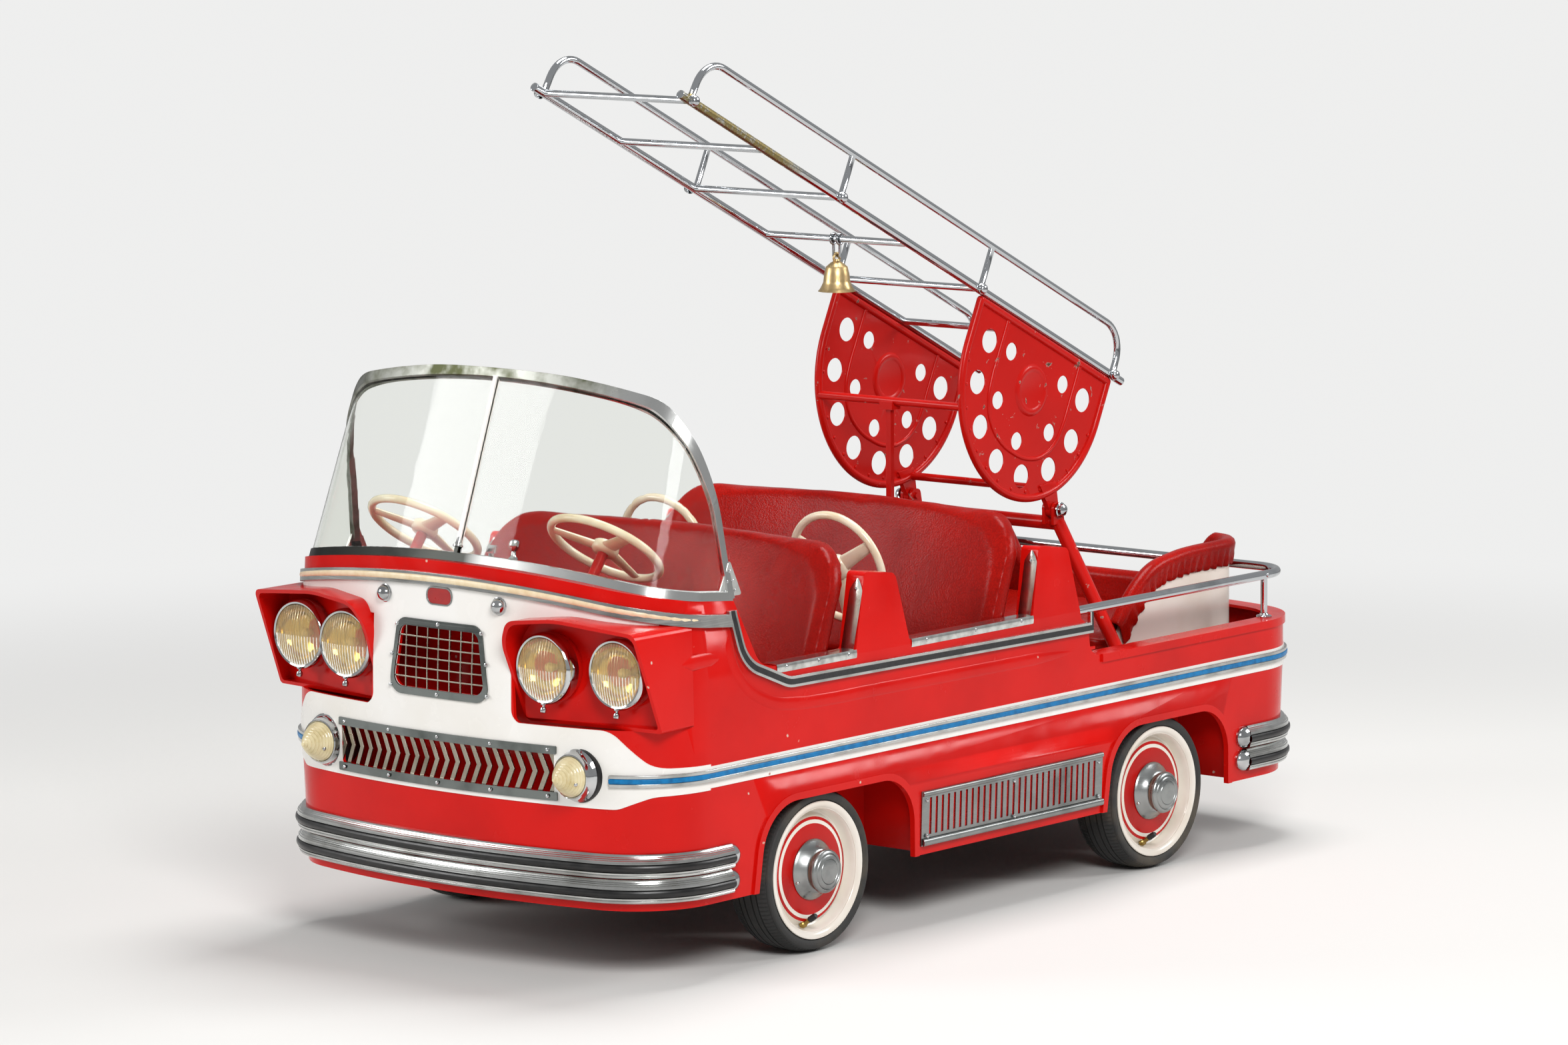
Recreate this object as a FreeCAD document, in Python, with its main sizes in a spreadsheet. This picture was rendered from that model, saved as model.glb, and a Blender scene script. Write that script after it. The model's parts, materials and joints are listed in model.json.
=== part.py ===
import FreeCAD, Part
import math
import os
import Sketcher
from FreeCAD import Placement, Rotation, Vector

doc = FreeCAD.newDocument("FairgroundFireEngine")

# Driving dimensions in millimetres. The front of the ride looks along -Y, its left side is +X,
# the floor is Z = 0 and Y = 0 lies midway between the two ends.
DIMENSIONS = {
    # body moulding
    "body_half_width": 420,
    "body_front": -931,
    "body_rear": 941,
    "end_bow_radius": 1400,
    "corner_radius": 150,
    "body_wall": 6,
    "body_bottom": 122,
    "waist_height": 334,
    "crease_height": 480,
    "roofline_height": 700,
    "bottom_tuck": 8,
    "crease_tuck": 2,
    "roofline_tuck": 14,
    "front_seam": -660,
    "rear_seam": 665,
    "rim_return": 30,
    "rim_thickness": 5,
    # crown of the cowl and the belt on it
    "crown_radius": 2780,
    "crown_height": 658,
    "crown_fall": 0.10,
    "belt_top": 638,
    "belt_width": 20,
    "moulding_proud": 7,
    "insert_width": 9,
    "insert_proud": 2,
    "ledge_width": 58,
    # openings of the body's side
    "cowl_rear": -684,
    "sill_start": -622,
    "sill_height": 486,
    "post_height": 606,
    "post_fall": 10,
    "first_post_front": -383,
    "first_post_rear": -244,
    "second_post_front": 87,
    "second_post_rear": 221,
    "post_lean": 30,
    "tub_edge": 246,
    "tub_height": 399,
    "tub_bead": 14,
    "tub_bead_proud": 4,
    # wheel arches and boxes
    "arch_top": 262,
    "arch_lip": 12,
    "arch_lip_proud": 4,
    "front_arch_front": -636,
    "front_arch_rear": -226,
    "rear_arch_front": 290,
    "rear_arch_rear": 654,
    "arch_slope": 24,
    "arch_radius": 85,
    "box_inner": 298,
    "box_top": 292,
    "box_wall": 3,
    # wheels and axles
    "front_axle_place": -470,
    "rear_axle_place": 452,
    "axle_height": 135.3,
    "axle_radius": 15,
    "axle_clearance": 0.05,
    "axle_inset": 16,
    "rim_face": 408,
    "rim_radius": 113.3,
    "rim_width": 82,
    "flange_width": 4,
    "bead_radius": 101,
    "tyre_width": 84,
    "barrel_wall": 3,
    "disc_depth": 22,
    "disc_wall": 4,
    "hub_radius": 22,
    "hub_length": 60,
    "hub_face": 14,
    "cap_radius": 50,
    "cap_step_radius": 36,
    "cap_reach": 38,
    # louvre panels
    "louvre_front": -213,
    "louvre_length": 494,
    "louvre_bottom": 137,
    "louvre_height": 92,
    "louvre_thickness": 3,
    "louvre_margin": 20,
    "louvre_foot": 18,
    "slot_width": 6,
    "slot_count": 29,
    # chassis and floor
    "rail_place": 200,
    "rail_width": 25,
    "rail_height": 40,
    "rail_bottom": 151,
    "chassis_end": 850,
    "floor_thickness": 4,
    "floor_clearance": 1,
    "deck_front": 195,
    "deck_height": 292,
    # ladder
    "ladder_slope": 25.8,
    "ladder_origin_y": -485.4,
    "ladder_origin_z": 1375.2,
    "ladder_half_width": 158.8,
    "ladder_front_overhang": 26,
    "ladder_length": 1292,
    "rung_pitch": 209.7,
    "rung_count": 7,
    "rail_radius": 7.5,
    "rung_radius": 6,
    "hoop_radius": 6,
    "hoop_height": 80,
    "hoop_bend": 55,
    # perforated side plates of the ladder
    "plate_place": 166.4,
    "plate_middle": 1054,
    "plate_radius": 200,
    "plate_top": -18,
    "plate_centre": -94,
    "plate_thickness": 2,
    "plate_tube_radius": 7,
    "plate_boss_radius": 52,
    "plate_boss_proud": 4,
    "large_hole": 42,
    "small_hole": 31,
    # ladder support
    "pivot_y": 478,
    "pivot_z": 606,
    "pivot_radius": 6,
    "pivot_clearance": 0.05,
    "leg_radius": 12,
    "leg_top_y": 488,
    "leg_top_z": 580,
    "leg_foot_x": 388,
    "leg_foot_y": 428,
    "post_width": 22,
    "post_thickness": 8,
    # windscreen
    "screen_half_width": 402,
    "screen_front": -905,
    "screen_base": 600,
    "screen_rake": 0.362,
    "screen_thickness": 4,
    "screen_top": 958,
    "channel_thickness": 10,
    "channel_width": 14,
    # steering wheels
    "steering_ring_radius": 94,
    "steering_tube_radius": 6.5,
    "steering_spoke_radius": 5,
    "steering_hub_radius": 17,
    "steering_hub_height": 20,
    "steering_pin_radius": 6,
    "column_radius": 9,
    "column_clearance": 0.05,
    # bell
    "bell_radius": 32.5,
    "bell_height": 52,
    "bell_wall": 3,
    "bell_pivot_drop": 22,
    # bumpers
    "bumper_bottom": 134,
    "bumper_height": 41,
    "bumper_proud": 15,
    "band_proud": 18,
    "front_bumper_end": -705,
    "rear_bumper_end": 700,
    # headlamp hoods and lamps
    "hood_inner": 148,
    "hood_outer": 417,
    "hood_bottom": 412,
    "hood_top": 572,
    "hood_crown": 590,
    "hood_wall": 6,
    "hood_reach": -955,
    "lamp_radius": 58,
    "inner_lamp_x": 216,
    "inner_lamp_y": -920,
    "outer_lamp_x": 346,
    "outer_lamp_y": -893,
    "lamp_height": 503.5,
    "turn_lamp_x": 274,
    "turn_lamp_face": -920,
    "turn_cup_radius": 42,
    "turn_lens_radius": 31,
    "turn_lens_length": 42,
    "turn_lamp_z": 337,
    # guard rail
    "guard_height": 474,
    "guard_radius": 8,
    "guard_half_width": 390,
    "guard_front": 221.5,
    "guard_rear": 878,
    "guard_bend": 72,
}

sheet = doc.addObject("Spreadsheet::Sheet", "Sizes")
for row, (alias, number) in enumerate(DIMENSIONS.items(), start=1):
    sheet.set("A%d" % row, alias)
    sheet.set("B%d" % row, str(number))
    sheet.setAlias("B%d" % row, alias)
doc.recompute()

SIDE = Rotation(Vector(1, 1, 1), 120)
FRONT = Rotation(Vector(1, 0, 0), 90)
REACH = 1200
nodes = []


def size(alias):
    """The number that the sheet holds under an alias."""
    return float(sheet.get(alias))


def value(expression):
    """The number that an expression of the sheet's aliases comes to."""
    return float(sheet.evalExpression(expression))


def node(item, label):
    """Names a finished sub-part and keeps it for the export."""
    item.Label = label
    nodes.append(item)
    return item


def feature(label, shape):
    """A sub-part whose shape is set with Part's own functions."""
    item = doc.addObject("Part::Feature", label)
    item.Shape = shape
    item.Placement = Placement()
    return node(item, label)


def joined(shapes):
    """One solid out of shapes that meet."""
    shapes = list(shapes)
    return shapes[0].fuse(shapes[1:]).removeSplitter() if len(shapes) > 1 else shapes[0]


def rounded(corners, closed=True):
    """A flat wire through corners (a, b, radius), each turned by an arc of its radius."""
    count = len(corners)
    spots = [Vector(a, b, 0) for a, b, radius in corners]
    edges = []
    starts = []
    for place, (a, b, radius) in enumerate(corners):
        here = spots[place]
        ends = not closed and place in (0, count - 1)
        if radius == 0 or ends:
            starts.append((here, here))
            continue
        back = (spots[place - 1] - here).normalize()
        ahead = (spots[(place + 1) % count] - here).normalize()
        half = back.getAngle(ahead) / 2
        reach = radius / math.tan(half)
        middle = (back + ahead).normalize()
        first = here + back * reach
        last = here + ahead * reach
        centre = here + middle * (radius / math.sin(half))
        edges.append((place, Part.Arc(first, centre - middle * radius, last).toShape()))
        starts.append((first, last))
    pieces = []
    arcs = dict(edges)
    for place in range(count):
        if place in arcs:
            pieces.append(arcs[place])
        if place == count - 1 and not closed:
            break
        first = starts[place][1]
        last = starts[(place + 1) % count][0]
        if first.distanceToPoint(last) > 1e-6:
            pieces.append(Part.LineSegment(first, last).toShape())
    return Part.Wire(Part.__sortEdges__(pieces))


def side_prism(corners, low, high):
    """A prism of a side view outline (y, z, radius) from x = low to x = high."""
    face = Part.Face(rounded(corners))
    face.Placement = Placement(Vector(low, 0, 0), SIDE)
    return face.extrude(Vector(high - low, 0, 0))


def front_prism(corners, near, far):
    """A prism of a front view outline (x, z, radius) from y = near to y = far."""
    face = Part.Face(rounded(corners))
    face.Placement = Placement(Vector(0, near, 0), FRONT)
    return face.extrude(Vector(0, far - near, 0))


def block(x_low, x_high, y_low, y_high, z_low, z_high):
    """A box between two corners."""
    return Part.makeBox(x_high - x_low, y_high - y_low, z_high - z_low, Vector(x_low, y_low, z_low))


def bar(start, end, radius):
    """A round bar between two points."""
    return Part.makeCylinder(radius, (end - start).Length, start, end - start)


def mirrored(shape):
    """The same shape on the other side of the ride."""
    return shape.mirror(Vector(0, 0, 0), Vector(1, 0, 0))


# The body's plan is two long bows and two straight sides, joined by round corners. It keeps
# the centres of its arcs at every height and only moves in or out.
def tuck(height):
    """How far the body draws in at a height."""
    steps = [(size("body_bottom"), size("bottom_tuck")), (size("waist_height"), 0),
             (size("crease_height"), size("crease_tuck")),
             (size("roofline_height"), size("roofline_tuck"))]
    if height <= steps[0][0]:
        return steps[0][1]
    for (low, low_tuck), (high, high_tuck) in zip(steps, steps[1:]):
        if height <= high:
            return low_tuck + (high_tuck - low_tuck) * (height - low) / (high - low)
    return steps[-1][1]


def plan_wire(half, front, rear, corner, bow, moved, height):
    """A closed plan curve at a height, moved outwards by a distance."""
    edges = []
    across = half - corner
    along = math.sqrt((bow - corner) ** 2 - across ** 2)
    for end, sign in ((front, -1), (rear, 1)):
        bow_centre = Vector(0, end - sign * bow, height)
        corner_centre = Vector(across, bow_centre.y + sign * along, height)
        lean = (corner_centre - bow_centre).normalize()
        joint = corner_centre + lean * (corner + moved)
        tip = corner_centre + Vector(corner + moved, 0, 0)
        middle = corner_centre + (lean + Vector(1, 0, 0)).normalize() * (corner + moved)
        far_joint = Vector(-joint.x, joint.y, height)
        crest = Vector(0, end + sign * moved, height)
        edges.append(Part.Arc(far_joint, crest, joint).toShape())
        edges.append(Part.Arc(joint, middle, tip).toShape())
        edges.append(Part.Arc(far_joint, Vector(-middle.x, middle.y, height),
                              Vector(-tip.x, tip.y, height)).toShape())
        if sign < 0:
            front_tip = tip
    edges.append(Part.LineSegment(front_tip, tip).toShape())
    edges.append(Part.LineSegment(Vector(-front_tip.x, front_tip.y, height),
                                  Vector(-tip.x, tip.y, height)).toShape())
    return Part.Wire(Part.__sortEdges__(edges))


def body_wire(moved, height):
    """The body's plan curve at a height, moved outwards by a distance."""
    return plan_wire(size("body_half_width"), size("body_front"), size("body_rear"),
                     size("corner_radius"), size("end_bow_radius"), moved - tuck(height), height)


def envelope(moved, low, high):
    """The body's outer form between two heights, moved outwards by a distance."""
    steps = [size(name) for name in ("body_bottom", "waist_height", "crease_height",
                                     "roofline_height")]
    heights = [low] + [step for step in steps if low < step < high] + [high]
    return Part.makeLoft([body_wire(moved, height) for height in heights], True, True)


def skin(outer, inner, low, high):
    """A wall that follows the body between two offsets and two heights."""
    return envelope(outer, low, high).cut(envelope(inner, low - 1, high + 1))


def crown(height):
    """What lies below the crowned surface of the cowl, given its height at the front."""
    radius = size("crown_radius")
    fall = size("crown_fall")
    drop = radius * math.sqrt(1 + fall ** 2)
    before = radius * fall + 200
    start = Vector(0, size("body_front") - before, height - drop + before * fall)
    return Part.makeCylinder(radius, before + size("tub_edge") - size("body_front"), start,
                             Vector(0, 1, -fall))


BOTTOM = size("body_bottom")
ROOF = size("roofline_height")
HALF = size("body_half_width")
WALL = size("body_wall")


def opening_outline():
    """The side view line along cowl, sills, posts and tub, closed above the body."""
    sill = size("sill_height")
    post = size("post_height")
    fall = size("post_fall")
    lean = size("post_lean")
    cowl = size("cowl_rear")
    tub = size("tub_height")
    above = ROOF + 60
    return [
        (cowl, above, 0), (cowl, post, 12), (size("sill_start"), sill, 45),
        (size("first_post_front"), sill, 6),
        (size("first_post_front") + lean, post + fall / 2, 10),
        (size("first_post_rear") - lean, post - fall / 2, 16),
        (size("first_post_rear"), sill, 6),
        (size("second_post_front"), sill, 6),
        (size("second_post_front") + lean * 0.8, post - fall / 2, 8),
        (size("second_post_rear") - lean, post - 1.5 * fall, 12),
        (size("second_post_rear"), sill - 20, 5),
        (size("tub_edge") - 6, sill - 32, 5),
        (size("tub_edge"), tub, 25),
        (size("body_rear") + 100, tub, 0), (size("body_rear") + 100, above, 0),
    ]


def arch_outline(front, rear, extra, top):
    """A wheel arch as a side view outline, grown by extra."""
    slope = size("arch_slope")
    radius = size("arch_radius") + extra
    return [
        (front - extra, BOTTOM - 60, 0), (front + slope - extra, top + extra, radius),
        (rear - slope / 2 + extra, top + extra, radius), (rear + extra, BOTTOM - 60, 0),
    ]


ARCHES = [(size("front_arch_front"), size("front_arch_rear")),
          (size("rear_arch_front"), size("rear_arch_rear"))]


def hood_outline(inset):
    """The front view outline of the left headlamp hood, drawn in by inset."""
    inner = size("hood_inner") + inset
    outer = size("hood_outer") - inset
    low = size("hood_bottom") + inset
    return [
        (inner + 8, low, 12 - inset), (inner, size("hood_top") - 30, 60),
        (inner + 22, size("hood_top") - inset + 8, 30),
        ((inner + outer) / 2 - 20, size("hood_crown") - inset, 200),
        (outer - 3, size("hood_top") + 4 - inset, 14), (outer, low, 6),
    ]


MESH_OPENING = [(-84, 549, 16), (-100, 449, 18), (100, 449, 18), (84, 549, 16)]
CHEVRON_OPENING = [(-232, 306, 4), (-232, 369, 4), (232, 369, 4), (232, 306, 4)]

# Body moulding: one wall all round, cut by the cabin line, the arches and the front openings,
# and parted at its two seams into front, sides and rear.
wall = skin(0, -WALL, BOTTOM, ROOF)
cabin = Part.Face(rounded(opening_outline()))
grown = cabin.makeOffset2D(size("rim_thickness"))
rim_band = grown.cut(cabin)
rim_band.Placement = Placement(Vector(-HALF - 20, 0, 0), SIDE)
cabin.Placement = Placement(Vector(-HALF - 20, 0, 0), SIDE)
above_cabin = cabin.extrude(Vector(2 * HALF + 40, 0, 0))
wall = wall.cut(above_cabin)
for front, rear in ARCHES:
    wall = wall.cut(side_prism(arch_outline(front, rear, 0, size("arch_top")), -REACH, REACH))

# Returned rims of sills and posts, and of the tub.
inside = envelope(-WALL, BOTTOM, ROOF)
core = envelope(-WALL - size("rim_return"), BOTTOM - 1, ROOF + 1)
rims = rim_band.extrude(Vector(2 * HALF + 40, 0, 0)).common(inside).cut(core)
cabin_span = block(-REACH, REACH, size("front_seam"), size("tub_edge") + 30, BOTTOM, ROOF)
rims = rims.common(cabin_span)
tub_rim = skin(-WALL, -WALL - size("rim_return"), size("tub_height") - size("rim_thickness"),
               size("tub_height"))
tub_bead = skin(size("tub_bead_proud"), 0, size("tub_height") - size("tub_bead"),
                size("tub_height"))
tub_span = block(-REACH, REACH, size("tub_edge") + 30, REACH, BOTTOM, ROOF)
tub_rim = tub_rim.common(tub_span)
tub_bead = tub_bead.common(tub_span)
full_wall = wall.fuse([rims, tub_rim, tub_bead])

# Rolled lips of the arches.
lips = []
for front, rear in ARCHES:
    outer = side_prism(arch_outline(front, rear, size("arch_lip"), size("arch_top")), -REACH, REACH)
    lip = skin(size("arch_lip_proud"), 0, BOTTOM, size("arch_top") + 2 * size("arch_lip"))
    hole = side_prism(arch_outline(front, rear, 0, size("arch_top")), -REACH, REACH)
    lips.append(lip.common(outer).cut(hole))
full_wall = full_wall.fuse(lips)

front_zone = block(-REACH, REACH, -REACH, size("front_seam"), 0, REACH)
rear_zone = block(-REACH, REACH, size("rear_seam"), REACH, 0, REACH)
side_zone = block(0, REACH, size("front_seam"), size("rear_seam"), 0, REACH)

front_wall = full_wall.common(front_zone).common(crown(size("crown_height")))
HOOD_CUT = size("body_front") + size("corner_radius") - 16
hood = front_prism(hood_outline(0), -REACH, HOOD_CUT)
cowl_top = crown(size("crown_height")).cut(crown(size("crown_height") - WALL)).common(inside)
cowl_top = cowl_top.common(block(-REACH, REACH, -REACH, size("cowl_rear"), BOTTOM, ROOF))
dash_line = -800
cowl_hole = envelope(-size("ledge_width"), BOTTOM, ROOF + 1).common(
    block(-REACH, REACH, dash_line, REACH, BOTTOM, ROOF + 1))
front_wall = front_wall.fuse(cowl_top.cut(cowl_hole))
front_wall = front_wall.cut([hood, mirrored(hood), front_prism(MESH_OPENING, -REACH, -800),
                             front_prism(CHEVRON_OPENING, -REACH, -800)])
feature("body_front", front_wall)
left_side = full_wall.common(side_zone)
feature("body_side_left", left_side)
feature("body_side_right", mirrored(left_side))
feature("body_rear", full_wall.common(rear_zone))

# White front panel and the white band that runs on round the body.
BAND_LOW = 311
BAND_HIGH = 346
white_skin = skin(1.5, 0, 284, size("belt_top"))
white_outline = [(-425, 620, 0), (-425, 560, 0), (-150, 560, 0), (-150, 412, 20),
                 (-330, 412, 40), (-385, 352, 40), (-440, 348, 0), (-440, 309, 0),
                 (-385, 306, 40), (-340, 286, 30), (340, 286, 30), (385, 306, 40), (440, 309, 0),
                 (440, 348, 0), (385, 352, 40), (330, 412, 40), (150, 412, 20), (150, 560, 0),
                 (425, 560, 0), (425, 620, 0), (425, 700, 0), (-425, 700, 0)]
white = white_skin.common(front_prism(white_outline, -REACH, -752))
white = white.common(crown(size("belt_top") - size("belt_width")))
white = white.cut([hood, mirrored(hood), front_prism(MESH_OPENING, -REACH, -800),
                   front_prism(CHEVRON_OPENING, -REACH, -800)])
band = skin(1.5, 0, BAND_LOW, BAND_HIGH).common(block(-REACH, REACH, -752, REACH, 0, REACH))
feature("white_trim", white.fuse(band))

# Belt: an aluminium moulding round the cowl that turns down at the doors and runs back.
belt_zone = block(-REACH, REACH, -REACH, size("cowl_rear") - 9, BOTTOM, ROOF)
belt_high = crown(size("belt_top"))
belt_low = crown(size("belt_top") - size("belt_width"))
belt = skin(size("moulding_proud"), 0, 520, 660).common(belt_high).cut(belt_low)
belt = belt.common(belt_zone)
door_line = [(-693, 760, 0), (-693, 585, 60), (-668, 500, 70), (-560, 457, 60), (247, 449, 0),
             (247, 760, 0)]
door_face = Part.Face(rounded(door_line))


def along_door(outer, inner):
    """A strip beside the door line on the left side, between two distances from it."""
    strip = door_face.makeOffset2D(outer).cut(door_face.makeOffset2D(inner))
    strip.Placement = Placement(Vector(200, 0, 0), SIDE)
    near = block(0, REACH, -712, size("tub_edge"), 430, size("post_height") - 18)
    return strip.extrude(Vector(300, 0, 0)).common(near)


side_belt = skin(size("moulding_proud"), 0, 430, 600).common(along_door(9, -9))
side_belt = side_belt.cut(belt)
side_belt = side_belt.cut(skin(size("moulding_proud") + 1, size("moulding_proud") - 2, 430, 600)
                          .common(along_door(size("insert_width") / 2, -size("insert_width") / 2)))
side_belt = side_belt.common(skin(20, 0, 430, 600))
feature("belt_moulding", belt.fuse([side_belt, mirrored(side_belt)]))
side_insert = skin(size("moulding_proud") + 0.5, size("moulding_proud") - 2, 430, 600)
side_insert = side_insert.common(along_door(size("insert_width") / 2, -size("insert_width") / 2))
side_insert = side_insert.cut(belt)
feature("belt_inserts", Part.makeCompound([side_insert, mirrored(side_insert)]))

# Waist moulding on the white band, with a blue insert in its groove. It ends at two tips
# on the front.
waist_low = size("waist_height") - 12
waist_high = waist_low + 20
tip_gap = block(-331, 331, -REACH, -700, 0, REACH)
waist = skin(6.5, 1.5, waist_low, waist_high).cut(tip_gap)
waist_insert = skin(7.5, 4.5, waist_low + 6, waist_high - 6).cut(tip_gap)
feature("waist_moulding", waist.cut(skin(8, 4.5, waist_low + 6, waist_high - 6)))
feature("waist_insert", waist_insert)

# Bumpers: two bars one above the other, front and rear, each with a band along its middle.
bumper_caps = []
bumper_bars = []
bumper_bands = []
for label, first, sign in (("front", size("bumper_bottom"), -1),
                           ("rear", size("bumper_bottom") + 4, 1)):
    end = size(label + "_bumper_end")
    reach = sorted((end, sign * REACH))
    zone = block(-REACH, REACH, reach[0], reach[1], 0, REACH)
    bars = []
    for step in range(2):
        low = first + step * size("bumper_height")
        high = low + size("bumper_height") - 1
        bars.append(skin(size("bumper_proud"), 0, low, high).common(zone))
        middle = (low + high) / 2
        bumper_bands.append(skin(size("band_proud"), size("bumper_proud"), middle - 8,
                                 middle + 8).common(zone))
        for side in (-1, 1):
            across = HALF + size("bumper_proud") / 2 - tuck(middle)
            place = Vector(side * across, end, middle)
            knob = bar(place, place + Vector(0, -sign * 6, 0), size("bumper_height") / 2 - 2)
            dome = Part.makeSphere(size("bumper_height") / 2 - 2, place - Vector(0, sign * 6, 0))
            cap = knob.fuse(dome).cut(block(-REACH, REACH, min(end, end + sign * 60),
                                            max(end, end + sign * 60), 0, REACH))
            bumper_caps.append(cap.cut(envelope(0, BOTTOM, 300)))
    bumper_bars.extend(bars)
    feature(label + "_bumper", Part.makeCompound(bars))
feature("bumper_bands", Part.makeCompound(bumper_bands))
feature("bumper_caps", Part.makeCompound(bumper_caps))

# Grilles of the front.
mesh_frame = front_prism([(-91, 561, 22), (-109, 437, 24), (109, 437, 24), (91, 561, 22)],
                         -REACH, -800).cut(front_prism(MESH_OPENING, -REACH, -800))
mesh = [skin(4, 1.5, 430, 566).common(mesh_frame)]
wires = []
for step in range(1, 8):
    across = -96 + step * 24
    wires.append(block(across - 1.2, across + 1.2, -REACH, -800, 440, 558))
for step in range(1, 6):
    height = 449 + step * 100 / 6
    wires.append(block(-104, 104, -REACH, -800, height - 1.2, height + 1.2))
wires = skin(2, -1, 430, 566).common(joined(wires))
wires = wires.common(front_prism(MESH_OPENING, -REACH, -800))

strip_low = front_prism([(-238, 293, 2), (238, 293, 2), (238, 307, 2), (-238, 307, 2)],
                        -REACH, -800)
strip_high = front_prism([(-237, 368, 2), (237, 368, 2), (237, 381, 2), (-237, 381, 2)],
                         -REACH, -800)
bars = [skin(4, 1.5, 284, 390).common(strip_low.fuse(strip_high))]
chevrons = []
count = 21
pitch = 464 / count
for step in range(count + 1):
    start = -232 + step * pitch
    chevrons.append(front_prism([(start - 11, 306, 0), (start + 3, 337.5, 0), (start - 11, 369, 0),
                                 (start - 2, 369, 0), (start + 12, 337.5, 0),
                                 (start - 2, 306, 0)], -REACH, -800))
inside_opening = front_prism(CHEVRON_OPENING, -REACH, -800)
chevrons = skin(0, -3, 300, 375).common(joined(chevrons)).common(inside_opening)
feature("grille_frames", Part.makeCompound(mesh + bars))
feature("grille_bars", Part.makeCompound([wires, chevrons]))

# Headlamp hoods: an arched ring with a leaning front edge round a plate that holds two lamps.
ring = front_prism(hood_outline(0), size("hood_reach"), HOOD_CUT + 10)
ring = ring.cut(front_prism(hood_outline(size("hood_wall")), size("hood_reach") - 1,
                            HOOD_CUT + 11))
ring = ring.cut([envelope(-WALL - 30, 300, 690),
                 envelope(1.8, 300, 690).common(block(-REACH, REACH, HOOD_CUT - 0.3, REACH,
                                                      300, 690))])
edge_top_inner = Vector(150, -955, 575)
edge_top_outer = Vector(415, -925, 575)
edge_low_outer = Vector(415, -864, 414)
normal = (edge_top_outer - edge_top_inner).cross(edge_low_outer - edge_top_inner).normalize()
if normal.y > 0:
    normal = -normal
front_plane = Part.makePlane(2000, 2000, Vector(-1000, -1000, 0))
front_plane.Placement = Placement(edge_top_inner, Rotation(Vector(0, 0, 1), normal))
shave = front_plane.extrude(normal * 400)
ring = ring.cut(shave)
ring = ring.cut([belt, envelope(-WALL + 0.5, 300, 690).common(
    block(-REACH, REACH, -807, REACH, 300, 690))])
plate_line = Part.Face(Part.makePolygon([Vector(140, -905, 0), Vector(430, -845, 0),
                                         Vector(430, -841, 0), Vector(140, -901, 0),
                                         Vector(140, -905, 0)]))
plate = plate_line.extrude(Vector(0, 0, 700))
plate = plate.common(front_prism(hood_outline(size("hood_wall")), -REACH, -700))
hood_shape = ring.fuse(plate)
feature("headlamp_hoods", Part.makeCompound([hood_shape, mirrored(hood_shape)]))

behind = Part.Face(Part.makePolygon([Vector(100, -913.33, 0), Vector(470, -836.77, 0),
                                     Vector(470, -600, 0), Vector(100, -600, 0),
                                     Vector(100, -913.33, 0)])).extrude(Vector(0, 0, 700))
bowls = []
lenses = []
for across, ahead in ((size("inner_lamp_x"), size("inner_lamp_y")),
                      (size("outer_lamp_x"), size("outer_lamp_y"))):
    face = Vector(across, ahead, size("lamp_height"))
    radius = size("lamp_radius")
    bowl = Part.makeCone(radius, radius - 14, 60, face, Vector(0, 1, 0)).cut(behind)
    bowl = bowl.cut(Part.makeCylinder(radius - 7, 4, face, Vector(0, 1, 0)))
    bowls.append(bowl)
    swell = (radius - 7) ** 2 / (2 * 9) + 9 / 2
    lens = Part.makeSphere(swell, face + Vector(0, swell - 9 + 2, 0))
    lens = lens.common(Part.makeCylinder(radius - 7, 20, face - Vector(0, 16, 0),
                                         Vector(0, 1, 0)))
    lenses.append(lens.common(block(0, REACH, -REACH, ahead + 4, 0, REACH)))

cups = bowls
cones = lenses
turn_face = Vector(size("turn_lamp_x"), size("turn_lamp_face"), size("turn_lamp_z"))
cup_radius = size("turn_cup_radius")
lens_radius = size("turn_lens_radius")
cup = Part.makeCone(lens_radius + 3, cup_radius, 22, turn_face, Vector(0, 1, 0))
cup = cup.fuse(bar(turn_face + Vector(0, 22, 0), turn_face + Vector(0, 60, 0), cup_radius))
cups.append(cup.cut(envelope(1.5, 250, 420)))
cone = Part.makeCone(lens_radius, 13, size("turn_lens_length") - 8, turn_face, Vector(0, -1, 0))
tip = turn_face - Vector(0, size("turn_lens_length") - 8, 0)
cones.append(cone.fuse(Part.makeCone(13, 5, 8, tip, Vector(0, -1, 0))))
feature("lamp_bowls", Part.makeCompound(cups + [mirrored(item) for item in cups]))
feature("lamp_lenses", Part.makeCompound(cones + [mirrored(item) for item in cones]))

# Chassis: two rails, cross members out to the body and saddles that hold the axles.
rail_low = size("rail_bottom")
rail_high = rail_low + size("rail_height")
end = size("chassis_end")
pieces = []
for side in (-1, 1):
    middle = side * size("rail_place")
    pieces.append(block(middle - size("rail_width") / 2, middle + size("rail_width") / 2,
                        -end, end, rail_low, rail_high))
for place in (-end, -690, -150, 262, 700, end):
    pieces.append(block(-395, 395, place - 12, place + 12, rail_low, rail_low + 25))
for place in (size("front_axle_place"), size("rear_axle_place")):
    for side in (-1, 1):
        middle = side * size("rail_place")
        pieces.append(block(middle - 25, middle + 25, place - 28, place + 28,
                            size("axle_height") - size("axle_radius") - 5, rail_low))
chassis = joined(pieces).common(envelope(-WALL - 0.5, BOTTOM - 20, 400).fuse(
    block(-250, 250, -end, end, 60, 200)))
axle_bores = [bar(Vector(-300, place, size("axle_height")), Vector(300, place, size("axle_height")),
                  size("axle_radius")) for place in (size("front_axle_place"),
                                                     size("rear_axle_place"))]
feature("chassis", chassis.cut(axle_bores))

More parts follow.
